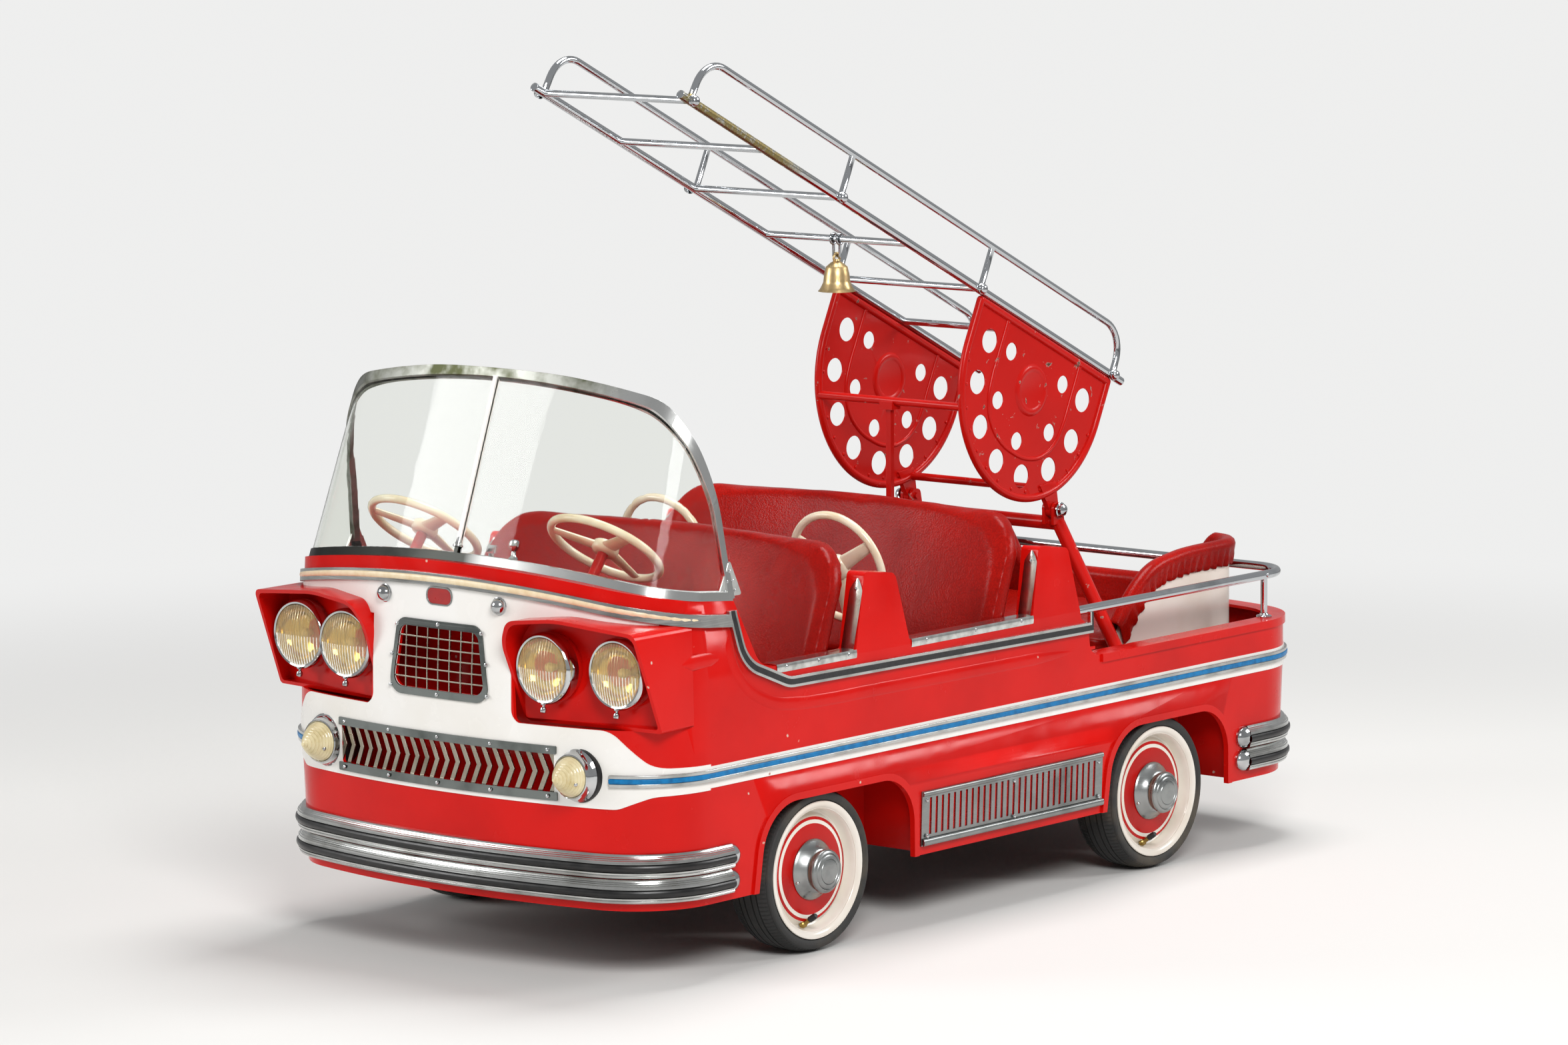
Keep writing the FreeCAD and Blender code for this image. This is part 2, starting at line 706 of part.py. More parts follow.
BOX_INNER = size("box_inner")
BOX_TOP = size("box_top")
BOX_WALL = size("box_wall")
inner_body = envelope(-WALL - 0.5, BOTTOM, ROOF)
boxes = []
box_spaces = []
axle_holes = [bar(Vector(BOX_INNER - 20, size(name), size("axle_height")),
                  Vector(BOX_INNER + 20, size(name), size("axle_height")),
                  size("axle_radius") + 1) for name in ("front_axle_place", "rear_axle_place")]
for front, rear in ARCHES:
    space = block(BOX_INNER + BOX_WALL, REACH, front - 4, rear + 4, 0, BOX_TOP - BOX_WALL)
    outside = block(BOX_INNER, REACH, front - 4 - BOX_WALL, rear + 4 + BOX_WALL, BOTTOM + 8,
                    BOX_TOP)
    boxes.append(outside.cut([space] + axle_holes).common(inner_body))
    box_spaces.append(block(BOX_INNER - 0.5, REACH, front - 8, rear + 8, 0, BOX_TOP + 0.5))
feature("wheel_boxes", Part.makeCompound(boxes + [mirrored(item) for item in boxes]))

gap = size("floor_clearance")
thick = size("floor_thickness")
deck = size("deck_height")
floor_body = envelope(-WALL - gap, BOTTOM, ROOF)
pan = block(-REACH, REACH, -806, size("deck_front"), rail_high, rail_high + thick)
pan = pan.common(floor_body).cut(box_spaces + [mirrored(item) for item in box_spaces])
feature("floor_pan", pan)
step = block(-REACH, REACH, size("deck_front"), size("deck_front") + thick, rail_high, deck)
top = block(-REACH, REACH, size("deck_front"), REACH, deck - thick, deck)
rear_deck = step.fuse(top).common(floor_body)
rear_deck = rear_deck.cut(box_spaces + [mirrored(item) for item in box_spaces])
feature("rear_deck", rear_deck)

# Dashboard: a panel from the floor up to the cowl, bent back at its top edge.
dash = side_prism([(-806, rail_high + thick + 0.5, 0), (-806, 640, 8), (-786, 640, 6),
                   (-786, 612, 14), (-800, 590, 20), (-800, rail_high + thick + 0.5, 0)],
                  -REACH, REACH)
dash = dash.common(floor_body).common(crown(size("crown_height") - WALL - 0.5))

# Steering: two wheels in front on the dashboard, two behind on the front seat's back.
columns = []
STEERING = [("front", 197, Vector(0, -745, 675), 37, 92),
            ("second", 190, Vector(0, -151, 577), 74, 209)]
steering_bores = []
steering_room = []


def steering_wheel(label, place, tilt):
    """A ring, three spokes and a bored hub on their own axis."""
    ring_body = doc.addObject("Part::Torus", label + "_ring")
    ring_body.setExpression("Radius1", "Sizes.steering_ring_radius")
    ring_body.setExpression("Radius2", "Sizes.steering_tube_radius")
    hub = doc.addObject("Part::Cylinder", label + "_hub")
    hub.setExpression("Radius", "Sizes.steering_hub_radius")
    hub.setExpression("Height", "Sizes.steering_hub_height")
    hub.setExpression("Placement.Base.z", "-Sizes.steering_hub_height / 2")
    parts = [ring_body, hub]
    for turn_angle in (90, 210, 330):
        spoke = doc.addObject("Part::Cylinder", label + "_spoke")
        spoke.setExpression("Radius", "Sizes.steering_spoke_radius")
        spoke.setExpression("Height", "Sizes.steering_ring_radius")
        spoke.Placement = Placement(Vector(), Rotation(Vector(0, 0, 1), turn_angle)
                                    * Rotation(Vector(0, 1, 0), 90))
        parts.append(spoke)
    whole = doc.addObject("Part::MultiFuse", label + "_whole")
    whole.Shapes = parts
    bore = doc.addObject("Part::Cylinder", label + "_bore")
    bore.setExpression("Radius", "Sizes.steering_pin_radius + Sizes.column_clearance")
    bore.setExpression("Height", "Sizes.steering_hub_height - 4")
    bore.setExpression("Placement.Base.z", "-Sizes.steering_hub_height / 2")
    wheel = doc.addObject("Part::Cut", label)
    wheel.Base = whole
    wheel.Tool = bore
    wheel.Placement = Placement(place, Rotation(Vector(1, 0, 0), -tilt))
    return node(wheel, label)


for row_name, across, middle, tilt, length in STEERING:
    axis = Vector(0, math.sin(math.radians(tilt)), math.cos(math.radians(tilt)))
    for side_name, side in (("left", 1), ("right", -1)):
        place = Vector(side * across, middle.y, middle.z)
        steering_wheel("steering_wheel_%s_%s" % (row_name, side_name), place, tilt)
        seat_of_hub = place - axis * (size("steering_hub_height") / 2 + 0.5)
        foot = place - axis * length
        columns.append(joined([bar(foot, seat_of_hub, size("column_radius")),
                               bar(seat_of_hub, place + axis * 3, size("steering_pin_radius"))]))
        steering_bores.append(bar(foot, seat_of_hub, size("column_radius")))
        steering_room.append(bar(foot, seat_of_hub, size("column_radius") + 1.5))
feature("steering_columns", Part.makeCompound(columns))
feature("dashboard", dash.cut(steering_bores))

# Seats: curved reclined backs with rounded shoulders, boards behind them and bench cushions.
RECLINE = 0.3556


def back_slab(front_gap, rear_gap, shift, half, low, high, shoulder):
    """A curved, reclined slab between two distances behind the seat's front surface."""
    radius = 1500
    faces = []
    for height in (low, high):
        middle = 130 + shift - RECLINE * (661 - height)
        centre = Vector(0, middle - radius, height)
        arcs = []
        for gap_behind in (front_gap, rear_gap):
            reach = radius + gap_behind
            spread = 450
            drop = math.sqrt(reach ** 2 - spread ** 2)
            arcs.append(Part.Arc(centre + Vector(-spread, drop, 0), centre + Vector(0, reach, 0),
                                 centre + Vector(spread, drop, 0)).toShape())
        ends = [Part.LineSegment(arcs[0].Vertexes[place].Point,
                                 arcs[1].Vertexes[place].Point).toShape() for place in (0, 1)]
        faces.append(Part.Wire(Part.__sortEdges__([arcs[0], ends[0], arcs[1], ends[1]])))
    slab = Part.makeLoft(faces, True, True)
    return slab.common(front_prism([(-half, low, 10), (-half, high - 0.5, shoulder),
                                    (half, high - 0.5, shoulder), (half, low, 10)],
                                   -REACH, REACH))


backs = []
boards = []
cushions = []
bases = []
beside_backs = left_side.copy()
beside_backs.translate(Vector(-0.6, 0, 0))
beside_backs = [beside_backs, mirrored(beside_backs)]
for row_name, shift in (("front", -466), ("second", 0)):
    back = back_slab(0, 42, shift, 385, 385, 660, 85)
    board = back_slab(42, 48, shift, 325, rail_high + thick, 640, 60)
    low_front = 130 + shift - RECLINE * (661 - 380)
    cushion = side_prism([(low_front - 190, 300, 12), (low_front - 194, 380, 30),
                          (low_front + 20, 372, 20), (low_front + 20, 300, 10)], -380, 380)
    cushion = cushion.cut(back_slab(-60, 600, shift, 600, 290, 700, 1).common(
        back_slab(0, 600, shift, 600, 290, 700, 1)))
    base = block(-290, 290, low_front - 170, low_front, rail_high + thick, 300)
    base = base.cut(back_slab(41.9, 600, shift, 600, rail_high, 310, 1))
    if row_name == "front":
        board = board.cut(steering_bores)
        back = back.cut(steering_room)
    back = back.cut(beside_backs)
    board = board.cut(box_spaces + [mirrored(item) for item in box_spaces])
    backs.append(back)
    boards.append(board)
    cushions.append(cushion)
    bases.append(base)
feature("seat_backs", Part.makeCompound(backs))
feature("seat_boards", Part.makeCompound(boards))
feature("seat_cushions", Part.makeCompound(cushions))
feature("seat_bases", Part.makeCompound(bases))

# Rear bucket seat: a white shell open to the front, with a red gathered cover on its rim.
def rounded_block(half, front, rear, radius, low, high):
    """An upright block with rounded corners in plan."""
    face = Part.Face(rounded([(-half, front, radius), (half, front, radius), (half, rear, radius),
                              (-half, rear, radius)]))
    face.Placement = Placement(Vector(0, 0, low), Rotation())
    return face.extrude(Vector(0, 0, high - low))


def below_rim(lift):
    """What lies below the seat's rim, raised by a distance. The rim dips at the back."""
    line = [(300, 200, 0), (425 - lift, 200, 0), (425 - lift, 340, 0),
            (457 - lift, 375 + lift / 2, 20), (500 - lift / 2, 440 + lift, 30),
            (560, 492 + lift, 60), (640, 506 + lift, 80), (900, 512 + lift, 0), (900, 200, 0)]
    dip = front_prism([(-210, 418 + lift, 90), (210, 418 + lift, 90), (330, 560 + lift, 10),
                       (-330, 560 + lift, 10)], 735, REACH)
    return side_prism(line, -REACH, REACH).cut(dip)


shell = rounded_block(310, 425, 845, 70, deck, 560)
shell = shell.cut(rounded_block(300, 300, 835, 60, deck - 1, 561))
shell = shell.fuse(rounded_block(301, 440, 836, 60, 352, 360)).common(below_rim(0))
feature("rear_seat_shell", shell)
cover = rounded_block(322, 380, 857, 80, 330, 560).cut(rounded_block(288, 300, 823, 50, 300, 561))
cover = cover.common(below_rim(22)).cut(below_rim(-22))
low_end = block(-REACH, REACH, 300, 480, 300, 442)
feature("rear_seat_cover", cover.cut([shell, low_end]))
seat_pad = rounded_block(287, 452, 833, 50, 360.2, 392)
feature("rear_seat_cushion", seat_pad)

# Guard rail round the tub.
def tube(corners, radius, placement):
    """A round tube along a flat path of corners (a, b, bend radius)."""
    path = rounded(corners, closed=False)
    start = path.Vertexes[0].Point
    path_edge = path.Edges[0]
    direction = path_edge.tangentAt(path_edge.FirstParameter)
    section = Part.Wire(Part.makeCircle(radius, start, direction))
    shape = path.makePipeShell([section], True, False)
    shape.Placement = placement
    return shape


guard_height = size("guard_height")
half = size("guard_half_width")
guard_rear = size("guard_rear")
guard_bend = size("guard_bend")
guard_radius = size("guard_radius")
guard_bars = [bar(Vector(-half + guard_bend, guard_rear, guard_height),
                  Vector(half - guard_bend, guard_rear, guard_height), guard_radius)]
for side in (-1, 1):
    last = guard_rear - guard_bend
    guard_bars.append(bar(Vector(side * half, size("guard_front"), guard_height),
                          Vector(side * half, last, guard_height), guard_radius))
    ring_section = Part.Face(Part.Wire(Part.makeCircle(
        guard_radius, Vector(side * half, last, guard_height), Vector(0, 1, 0))))
    guard_bars.append(ring_section.revolve(Vector(side * (half - guard_bend), last, guard_height),
                                           Vector(0, 0, side), 90))
stand_y = guard_rear - guard_bend - 14
stands = [bar(Vector(side * half, stand_y, size("tub_height")),
              Vector(side * half, stand_y, guard_height), guard_radius - 2) for side in (-1, 1)]
feature("guard_rail", joined(guard_bars + stands))

# Ladder: its own frame has u down along the rails from the front and v square to them.
SLOPE = math.radians(size("ladder_slope"))
ALONG = Vector(0, math.cos(SLOPE), -math.sin(SLOPE))
UPRIGHT = Vector(0, math.sin(SLOPE), math.cos(SLOPE))
ORIGIN = Vector(0, size("ladder_origin_y"), size("ladder_origin_z"))


def on_ladder(across, along, upright):
    """A point given in the ladder's frame."""
    return ORIGIN + Vector(across, 0, 0) + ALONG * along + UPRIGHT * upright


def ladder_placement(across):
    """Puts a flat (u, v) shape upright beside the ladder's middle plane."""
    turn_matrix = FreeCAD.Matrix(0, 0, 1, across, ALONG.y, UPRIGHT.y, 0, ORIGIN.y,
                                 ALONG.z, UPRIGHT.z, 0, ORIGIN.z, 0, 0, 0, 1)
    return Placement(turn_matrix)


pitch = size("rung_pitch")
count = int(size("rung_count"))
half = size("ladder_half_width")
span = pitch * (count - 1)
pieces = []
for side in (-1, 1):
    pieces.append(bar(on_ladder(side * half, -size("ladder_front_overhang"), 0),
                      on_ladder(side * half, size("ladder_length"), 0), size("rail_radius")))
    height = size("hoop_height")
    bend = size("hoop_bend")
    pieces.append(tube([(0, 0, 0), (8, height, bend), (span + 4, height, bend), (span + 4, 0, 0)],
                       size("hoop_radius"), ladder_placement(side * half)))
    for step in (2, 4):
        pieces.append(bar(on_ladder(side * half, step * pitch + 6, 0),
                          on_ladder(side * half, step * pitch + 6, height),
                          size("hoop_radius") - 0.5))
for step in range(count):
    pieces.append(bar(on_ladder(-half, step * pitch, 0), on_ladder(half, step * pitch, 0),
                      size("rung_radius")))
feature("ladder", joined(pieces))

# Perforated side plates, framed by a tube and tied by two cross tubes.
middle_u = size("plate_middle")
middle_v = size("plate_centre")
radius = size("plate_radius")
top_v = -(size("rail_radius") + size("plate_tube_radius"))
place_x = half
plates = []
for side in (-1, 1):
    outline = Part.Wire([
        Part.LineSegment(Vector(middle_u - radius, top_v, 0),
                         Vector(middle_u - radius, middle_v, 0)).toShape(),
        Part.Arc(Vector(middle_u - radius, middle_v, 0), Vector(middle_u, middle_v - radius, 0),
                 Vector(middle_u + radius, middle_v, 0)).toShape(),
        Part.LineSegment(Vector(middle_u + radius, middle_v, 0),
                         Vector(middle_u + radius, top_v, 0)).toShape(),
        Part.LineSegment(Vector(middle_u + radius, top_v, 0),
                         Vector(middle_u - radius, top_v, 0)).toShape()])
    sheet_face = Part.Face(outline)
    holes = []
    for hole_u, hole_v in ((146.5, -70), (147.5, -146.5), (107, -214), (39, -252)):
        for flip in (-1, 1):
            holes.append(Vector(middle_u + flip * hole_u, hole_v, -5))
    large = [Part.makeCylinder(size("large_hole") / 2, 10, spot) for spot in holes]
    small = [Part.makeCylinder(size("small_hole") / 2, 10, Vector(middle_u + a, b, -5))
             for a, b in ((81, -65), (-81, -65), (80.5, -155), (-80.5, -155), (0, -200.7))]
    flat = sheet_face.extrude(Vector(0, 0, size("plate_thickness")))
    flat.translate(Vector(0, 0, -size("plate_thickness") / 2))
    boss = Part.makeCylinder(44, size("plate_boss_proud"), Vector(middle_u, -106, -2))
    flat = flat.cut(large + small).fuse(boss)
    flat.Placement = ladder_placement(side * place_x)
    start = Vector(middle_u - radius, top_v, 0)
    section = Part.Wire(Part.makeCircle(size("plate_tube_radius"), start, Vector(0, 1, 0)))
    open_path = Part.Wire(outline.OrderedEdges[0:3])
    rim = open_path.makePipeShell([section], True, False)
    rim.Placement = ladder_placement(side * place_x)
    top_bar = bar(on_ladder(side * place_x, middle_u - radius, top_v),
                  on_ladder(side * place_x, middle_u + radius, top_v), size("plate_tube_radius"))
    corners = [Part.makeSphere(size("plate_tube_radius"),
                               on_ladder(side * place_x, middle_u + flip * radius, top_v))
               for flip in (-1, 1)]
    pivot = Vector(side * place_x, size("pivot_y"), size("pivot_z"))
    lug_root = on_ladder(side * place_x, middle_u + 112, middle_v - 158)
    lug = side_prism([(lug_root.y - 16, lug_root.z + 10, 0), (pivot.y - 13, pivot.z, 0),
                      (pivot.y - 13, pivot.z - 13, 12), (pivot.y + 13, pivot.z - 13, 12),
                      (pivot.y + 13, pivot.z, 0), (lug_root.y + 28, lug_root.z + 14, 0)],
                     side * place_x - 5, side * place_x + 5)
    whole = joined([flat, rim, top_bar, lug] + corners)
    plates.append(whole)
ties = []
for tie_u, tie_v in ((-169, -107), (134, -148)):
    ties.append(bar(on_ladder(-place_x, middle_u + tie_u, middle_v + tie_v),
                    on_ladder(place_x, middle_u + tie_u, middle_v + tie_v),
                    size("plate_tube_radius")))
bores = [bar(Vector(-200, size("pivot_y"), size("pivot_z")),
             Vector(200, size("pivot_y"), size("pivot_z")),
             size("pivot_radius") + size("pivot_clearance"))]
feature("ladder_plates", joined(plates + ties).cut(bores))

# Support: splayed legs, a cross tube with two forks and pins, and a prop under the front tie.
top_y = size("leg_top_y")
top_z = size("leg_top_z")
foot_x = size("leg_foot_x")
foot_y = size("leg_foot_y")
supports = []
for side in (-1, 1):
    head = Vector(side * 166, top_y, top_z)
    knee = Vector(side * 330, 444, 371)
    foot = Vector(side * foot_x, foot_y, size("tub_height") - 2)
    leg = joined([bar(head, knee, size("leg_radius")), Part.makeSphere(size("leg_radius"), knee),
                  Part.makeSphere(size("leg_radius"), head),
                  bar(knee, Vector(side * 392, 428, deck + 4), size("leg_radius"))])
    pad = bar(Vector(side * 388, 428, deck), Vector(side * 388, 428, deck + 6), 22)
    supports.append(joined([leg, pad]))
    for fork_x in (-10, 10):
        middle = side * place_x + fork_x
        supports.append(side_prism([(pivot.y - 12, top_z, 0), (pivot.y - 12, pivot.z + 12, 10),
                                    (pivot.y + 12, pivot.z + 12, 10), (pivot.y + 20, top_z, 0)],
                                   middle - 3, middle + 3))
    supports.append(bar(Vector(side * place_x - 18, pivot.y, pivot.z),
                        Vector(side * place_x + 18, pivot.y, pivot.z), size("pivot_radius")))
supports.append(bar(Vector(-166, top_y, top_z), Vector(166, top_y, top_z), size("leg_radius")))
support = joined(supports).common(envelope(-WALL - 1, BOTTOM, ROOF))
support = support.cut(block(-REACH, REACH, -REACH, REACH, 0, deck))
tie = on_ladder(0, middle_u - 169, middle_v - 107)
prop_radius = size("plate_tube_radius") + 0.5
prop = block(-5.5, 5.5, tie.y - 4.5, tie.y + 4.5, deck, tie.z)
prop = prop.fuse([block(-14, 14, tie.y - 12, tie.y + 12, tie.z - 14, tie.z),
                  block(-25, 25, tie.y - 20, tie.y + 20, deck, deck + 5)])
prop = prop.cut(bar(tie - Vector(50, 0, 0), tie + Vector(50, 0, 0), prop_radius))
feature("ladder_support", Part.makeCompound([support, prop]))

# Windscreen: one bent and raked pane in an edge channel.
def screen_form(moved):
    """What lies inside the windscreen's bent surface, moved outwards by a distance."""
    wires = []
    for height, half_width in ((590, size("screen_half_width") + 6),
                               (970, size("screen_half_width") - 22)):
        wire = plan_wire(half_width, size("screen_front"), 300, 110, 1400, moved, height)
        wire.translate(Vector(0, (height - size("screen_base")) * size("screen_rake"), 0))
        wires.append(wire)
    return Part.makeLoft(wires, True, True)


screen_line = [(-1000, 560, 0), (-671, 560, 0), (-690, 665, 300), (-701, 747, 400),
               (-727, 848, 200), (-750, 918, 60), (-780, size("screen_top"), 20),
               (-1000, size("screen_top"), 0)]
edge_face = Part.Face(rounded(screen_line))
inner_face = edge_face.makeOffset2D(-size("channel_width"))


def beside(face):
    """A side view face as a prism right across the ride."""
    copy = face.copy()
    copy.Placement = Placement(Vector(-500, 0, 0), SIDE)
    return copy.extrude(Vector(1000, 0, 0))


pane_half = size("screen_thickness") / 2
channel_half = size("channel_thickness") / 2
on_cowl = crown(size("crown_height"))
sheet_ring = screen_form(pane_half).cut(screen_form(-pane_half))
thick_ring = screen_form(channel_half).cut(screen_form(-channel_half))
whole_screen = beside(edge_face)
channel = thick_ring.common(whole_screen).cut(beside(inner_face).common(
    block(-REACH, REACH, -REACH, REACH, 0, REACH)))
base_rail = thick_ring.common(whole_screen).common(crown(size("crown_height") + 14))
behind_cowl = block(-REACH, REACH, size("cowl_rear"), 0, 0, size("post_height"))
channel = channel.fuse(base_rail).cut([on_cowl, behind_cowl])
centre_rod = block(-4, 4, -REACH, -600, 560, size("screen_top")).common(thick_ring)
channel = channel.fuse(centre_rod.cut(on_cowl).common(whole_screen))
pane = sheet_ring.common(whole_screen).cut([on_cowl, behind_cowl])
feature("windscreen_frame", channel)
feature("windscreen_pane", pane.cut(channel))

# Running gear: fixed axles and turning wheels, each wheel a tyre, a rim and a hub cap.
axles = []
for label, place in (("front", size("front_axle_place")), ("rear", size("rear_axle_place"))):
    axle = doc.addObject("Part::Cylinder", label + "_axle")
    axle.setExpression("Radius", "Sizes.axle_radius")
    axle.setExpression("Height", "2 * (Sizes.rim_face - Sizes.axle_inset)")
    axle.Placement = Placement(Vector(0, 0, 0), Rotation(Vector(0, 1, 0), 90))
    axle.setExpression("Placement.Base.x", "Sizes.axle_inset - Sizes.rim_face")
    axle.setExpression("Placement.Base.y", "Sizes.%s_axle_place" % label)
    axle.setExpression("Placement.Base.z", "Sizes.axle_height")
    axles.append(axle)
both_axles = doc.addObject("Part::Compound", "axles")
both_axles.Links = axles
node(both_axles, "axles")


def revolved(label, corners, placement):
    """A body turned about its own Z from corners (radius, height), given as expressions."""
    body = doc.addObject("PartDesign::Body", label)
    sketch = body.newObject("Sketcher::SketchObject", label + "_section")
    planes = [item for item in body.Origin.OriginFeatures if item.Role == "XZ_Plane"]
    sketch.AttachmentSupport = [(planes[0], "")]
    sketch.MapMode = "FlatFace"
    spots = [(value(a), value(b)) for a, b in corners]
    for here, there in zip(spots, spots[1:] + spots[:1]):
        sketch.addGeometry(Part.LineSegment(Vector(here[0], here[1], 0),
                                            Vector(there[0], there[1], 0)), False)
    total = len(corners)
    for place in range(total):
        sketch.addConstraint(Sketcher.Constraint("Coincident", place, 2, (place + 1) % total, 1))
    for place, (a, b) in enumerate(corners):
        for kind, text, number in (("DistanceX", a, spots[place][0]),
                                   ("DistanceY", b, spots[place][1])):
            if abs(number) < 1e-9:
                axis = -2 if kind == "DistanceX" else -1
                sketch.addConstraint(Sketcher.Constraint("PointOnObject", place, 1, axis))
                continue
            index = sketch.addConstraint(Sketcher.Constraint(kind, -1, 1, place, 1, number))
            sketch.setExpression("Constraints[%d]" % index, text)
    turned = body.newObject("PartDesign::Revolution", label + "_turned")
    turned.Profile = sketch
    turned.ReferenceAxis = (sketch, ["V_Axis"])
    turned.Angle = 360
    body.Tip = turned
    body.Placement = placement
    return node(body, label)


RIM = [("Sizes.rim_radius", "0"), ("Sizes.rim_radius", "Sizes.flange_width"),
       ("Sizes.bead_radius", "Sizes.flange_width"),
       ("Sizes.bead_radius", "Sizes.rim_width - Sizes.flange_width"),
       ("Sizes.rim_radius", "Sizes.rim_width - Sizes.flange_width"),
       ("Sizes.rim_radius", "Sizes.rim_width"),
       ("Sizes.bead_radius - Sizes.barrel_wall", "Sizes.rim_width"),
       ("Sizes.bead_radius - Sizes.barrel_wall", "Sizes.disc_depth + Sizes.disc_wall"),
       ("Sizes.cap_radius + 8", "Sizes.hub_face + Sizes.disc_wall"),
       ("Sizes.hub_radius", "Sizes.hub_face + Sizes.disc_wall"),
       ("Sizes.hub_radius", "Sizes.hub_face + Sizes.hub_length"),
       ("Sizes.axle_radius + Sizes.axle_clearance", "Sizes.hub_face + Sizes.hub_length"),
       ("Sizes.axle_radius + Sizes.axle_clearance", "Sizes.hub_face"),
       ("Sizes.cap_radius + 8", "Sizes.hub_face"),
       ("Sizes.bead_radius - Sizes.barrel_wall", "Sizes.disc_depth"),
       ("Sizes.bead_radius - Sizes.barrel_wall", "0")]
SPARE = "(Sizes.tyre_width - Sizes.rim_width) / 2"
TYRE = [("Sizes.bead_radius", SPARE + " + Sizes.flange_width"),
        ("Sizes.rim_radius + 1", SPARE + " + Sizes.flange_width"),
        ("Sizes.rim_radius + 4", "2"), ("Sizes.rim_radius + 10", "0"),
        ("Sizes.axle_height - 4", "3"), ("Sizes.axle_height", "12"),
        ("Sizes.axle_height", "Sizes.tyre_width - 12"),
        ("Sizes.axle_height - 4", "Sizes.tyre_width - 3"),
        ("Sizes.rim_radius + 10", "Sizes.tyre_width"),
        ("Sizes.rim_radius + 4", "Sizes.tyre_width - 2"),
        ("Sizes.rim_radius + 1", "Sizes.tyre_width - %s - Sizes.flange_width" % SPARE),
        ("Sizes.bead_radius", "Sizes.tyre_width - %s - Sizes.flange_width" % SPARE)]
CAP = [("0", "0"), ("Sizes.cap_radius", "0"), ("Sizes.cap_radius", "3"),
       ("Sizes.cap_step_radius + 5", "10"), ("Sizes.cap_step_radius - 3", "17"),
       ("Sizes.cap_step_radius - 3", "24"), ("Sizes.cap_step_radius", "26"),
       ("Sizes.cap_step_radius", "Sizes.cap_reach - 5"),
       ("Sizes.cap_step_radius - 7", "Sizes.cap_reach - 3"),
       ("Sizes.cap_step_radius - 15", "Sizes.cap_reach - 2"),
       ("Sizes.cap_step_radius - 16", "Sizes.cap_reach"), ("0", "Sizes.cap_reach")]
for end_name in ("front", "rear"):
    for side_name, side in (("left", 1), ("right", -1)):
        spot = Vector(0, size(end_name + "_axle_place"), size("axle_height"))
        inward = Rotation(Vector(0, 1, 0), -90 * side)
        outward = Rotation(Vector(0, 1, 0), 90 * side)
        face = size("rim_face")
        name = "%s_%s" % (end_name, side_name)
        spare = (size("tyre_width") - size("rim_width")) / 2
        revolved("tyre_" + name, TYRE, Placement(spot + Vector(side * (face + spare), 0, 0), inward))
        revolved("rim_" + name, RIM, Placement(spot + Vector(side * face, 0, 0), inward))
        revolved("hub_cap_" + name, CAP,
                 Placement(spot + Vector(side * (face - size("hub_face")), 0, 0), outward))

# Louvre panels between the arches: a plate on each side with a row of upright slots.
def louvre_panel(label, placement):
    """A flat panel with a pattern of slots."""
    body = doc.addObject("PartDesign::Body", label)
    plane = [item for item in body.Origin.OriginFeatures if item.Role == "XY_Plane"][0]
    plate_sketch = body.newObject("Sketcher::SketchObject", label + "_outline")
    plate_sketch.AttachmentSupport = [(plane, "")]
    plate_sketch.MapMode = "FlatFace"
    box_sketch(plate_sketch, "0", "0", "Sizes.louvre_length", "Sizes.louvre_height")
    pad = body.newObject("PartDesign::Pad", label + "_plate")
    pad.Profile = plate_sketch
    pad.setExpression("Length", "Sizes.louvre_thickness")
    slot_sketch = body.newObject("Sketcher::SketchObject", label + "_slot")
    slot_sketch.AttachmentSupport = [(plane, "")]
    slot_sketch.MapMode = "FlatFace"
    box_sketch(slot_sketch, "Sizes.louvre_margin", "Sizes.louvre_foot", "Sizes.slot_width",
               "Sizes.louvre_height - Sizes.louvre_foot - 12")
    pocket = body.newObject("PartDesign::Pocket", label + "_pocket")
    pocket.Profile = slot_sketch
    pocket.Type = "ThroughAll"
    pocket.Midplane = True
    row = body.newObject("PartDesign::LinearPattern", label + "_row")
    row.Originals = [pocket]
    row.Direction = (slot_sketch, ["H_Axis"])
    row.setExpression("Length", "Sizes.louvre_length - 2 * Sizes.louvre_margin"
                                " - Sizes.slot_width")
    row.setExpression("Occurrences", "Sizes.slot_count")
    body.Tip = row
    body.Placement = placement
    return node(body, label)


def box_sketch(sketch, start_a, start_b, width, height):
    """A rectangle in a sketch, placed and sized by expressions."""
    a, b, w, h = (value(text) for text in (start_a, start_b, width, height))
    spots = [(a, b), (a + w, b), (a + w, b + h), (a, b + h)]
    for here, there in zip(spots, spots[1:] + spots[:1]):
        sketch.addGeometry(Part.LineSegment(Vector(here[0], here[1], 0),
                                            Vector(there[0], there[1], 0)), False)
    for place in range(4):
        sketch.addConstraint(Sketcher.Constraint("Coincident", place, 2, (place + 1) % 4, 1))
        kind = "Horizontal" if place % 2 == 0 else "Vertical"
        sketch.addConstraint(Sketcher.Constraint(kind, place))
    for kind, text, number, axis in (("DistanceX", start_a, a, -2), ("DistanceY", start_b, b, -1)):
        if abs(number) < 1e-9:
            sketch.addConstraint(Sketcher.Constraint("PointOnObject", 0, 1, axis))
        else:
            index = sketch.addConstraint(Sketcher.Constraint(kind, -1, 1, 0, 1, number))
            sketch.setExpression("Constraints[%d]" % index, text)
    index = sketch.addConstraint(Sketcher.Constraint("DistanceX", 0, 1, 0, 2, w))
    sketch.setExpression("Constraints[%d]" % index, width)
    index = sketch.addConstraint(Sketcher.Constraint("DistanceY", 1, 1, 1, 2, h))
    sketch.setExpression("Constraints[%d]" % index, height)


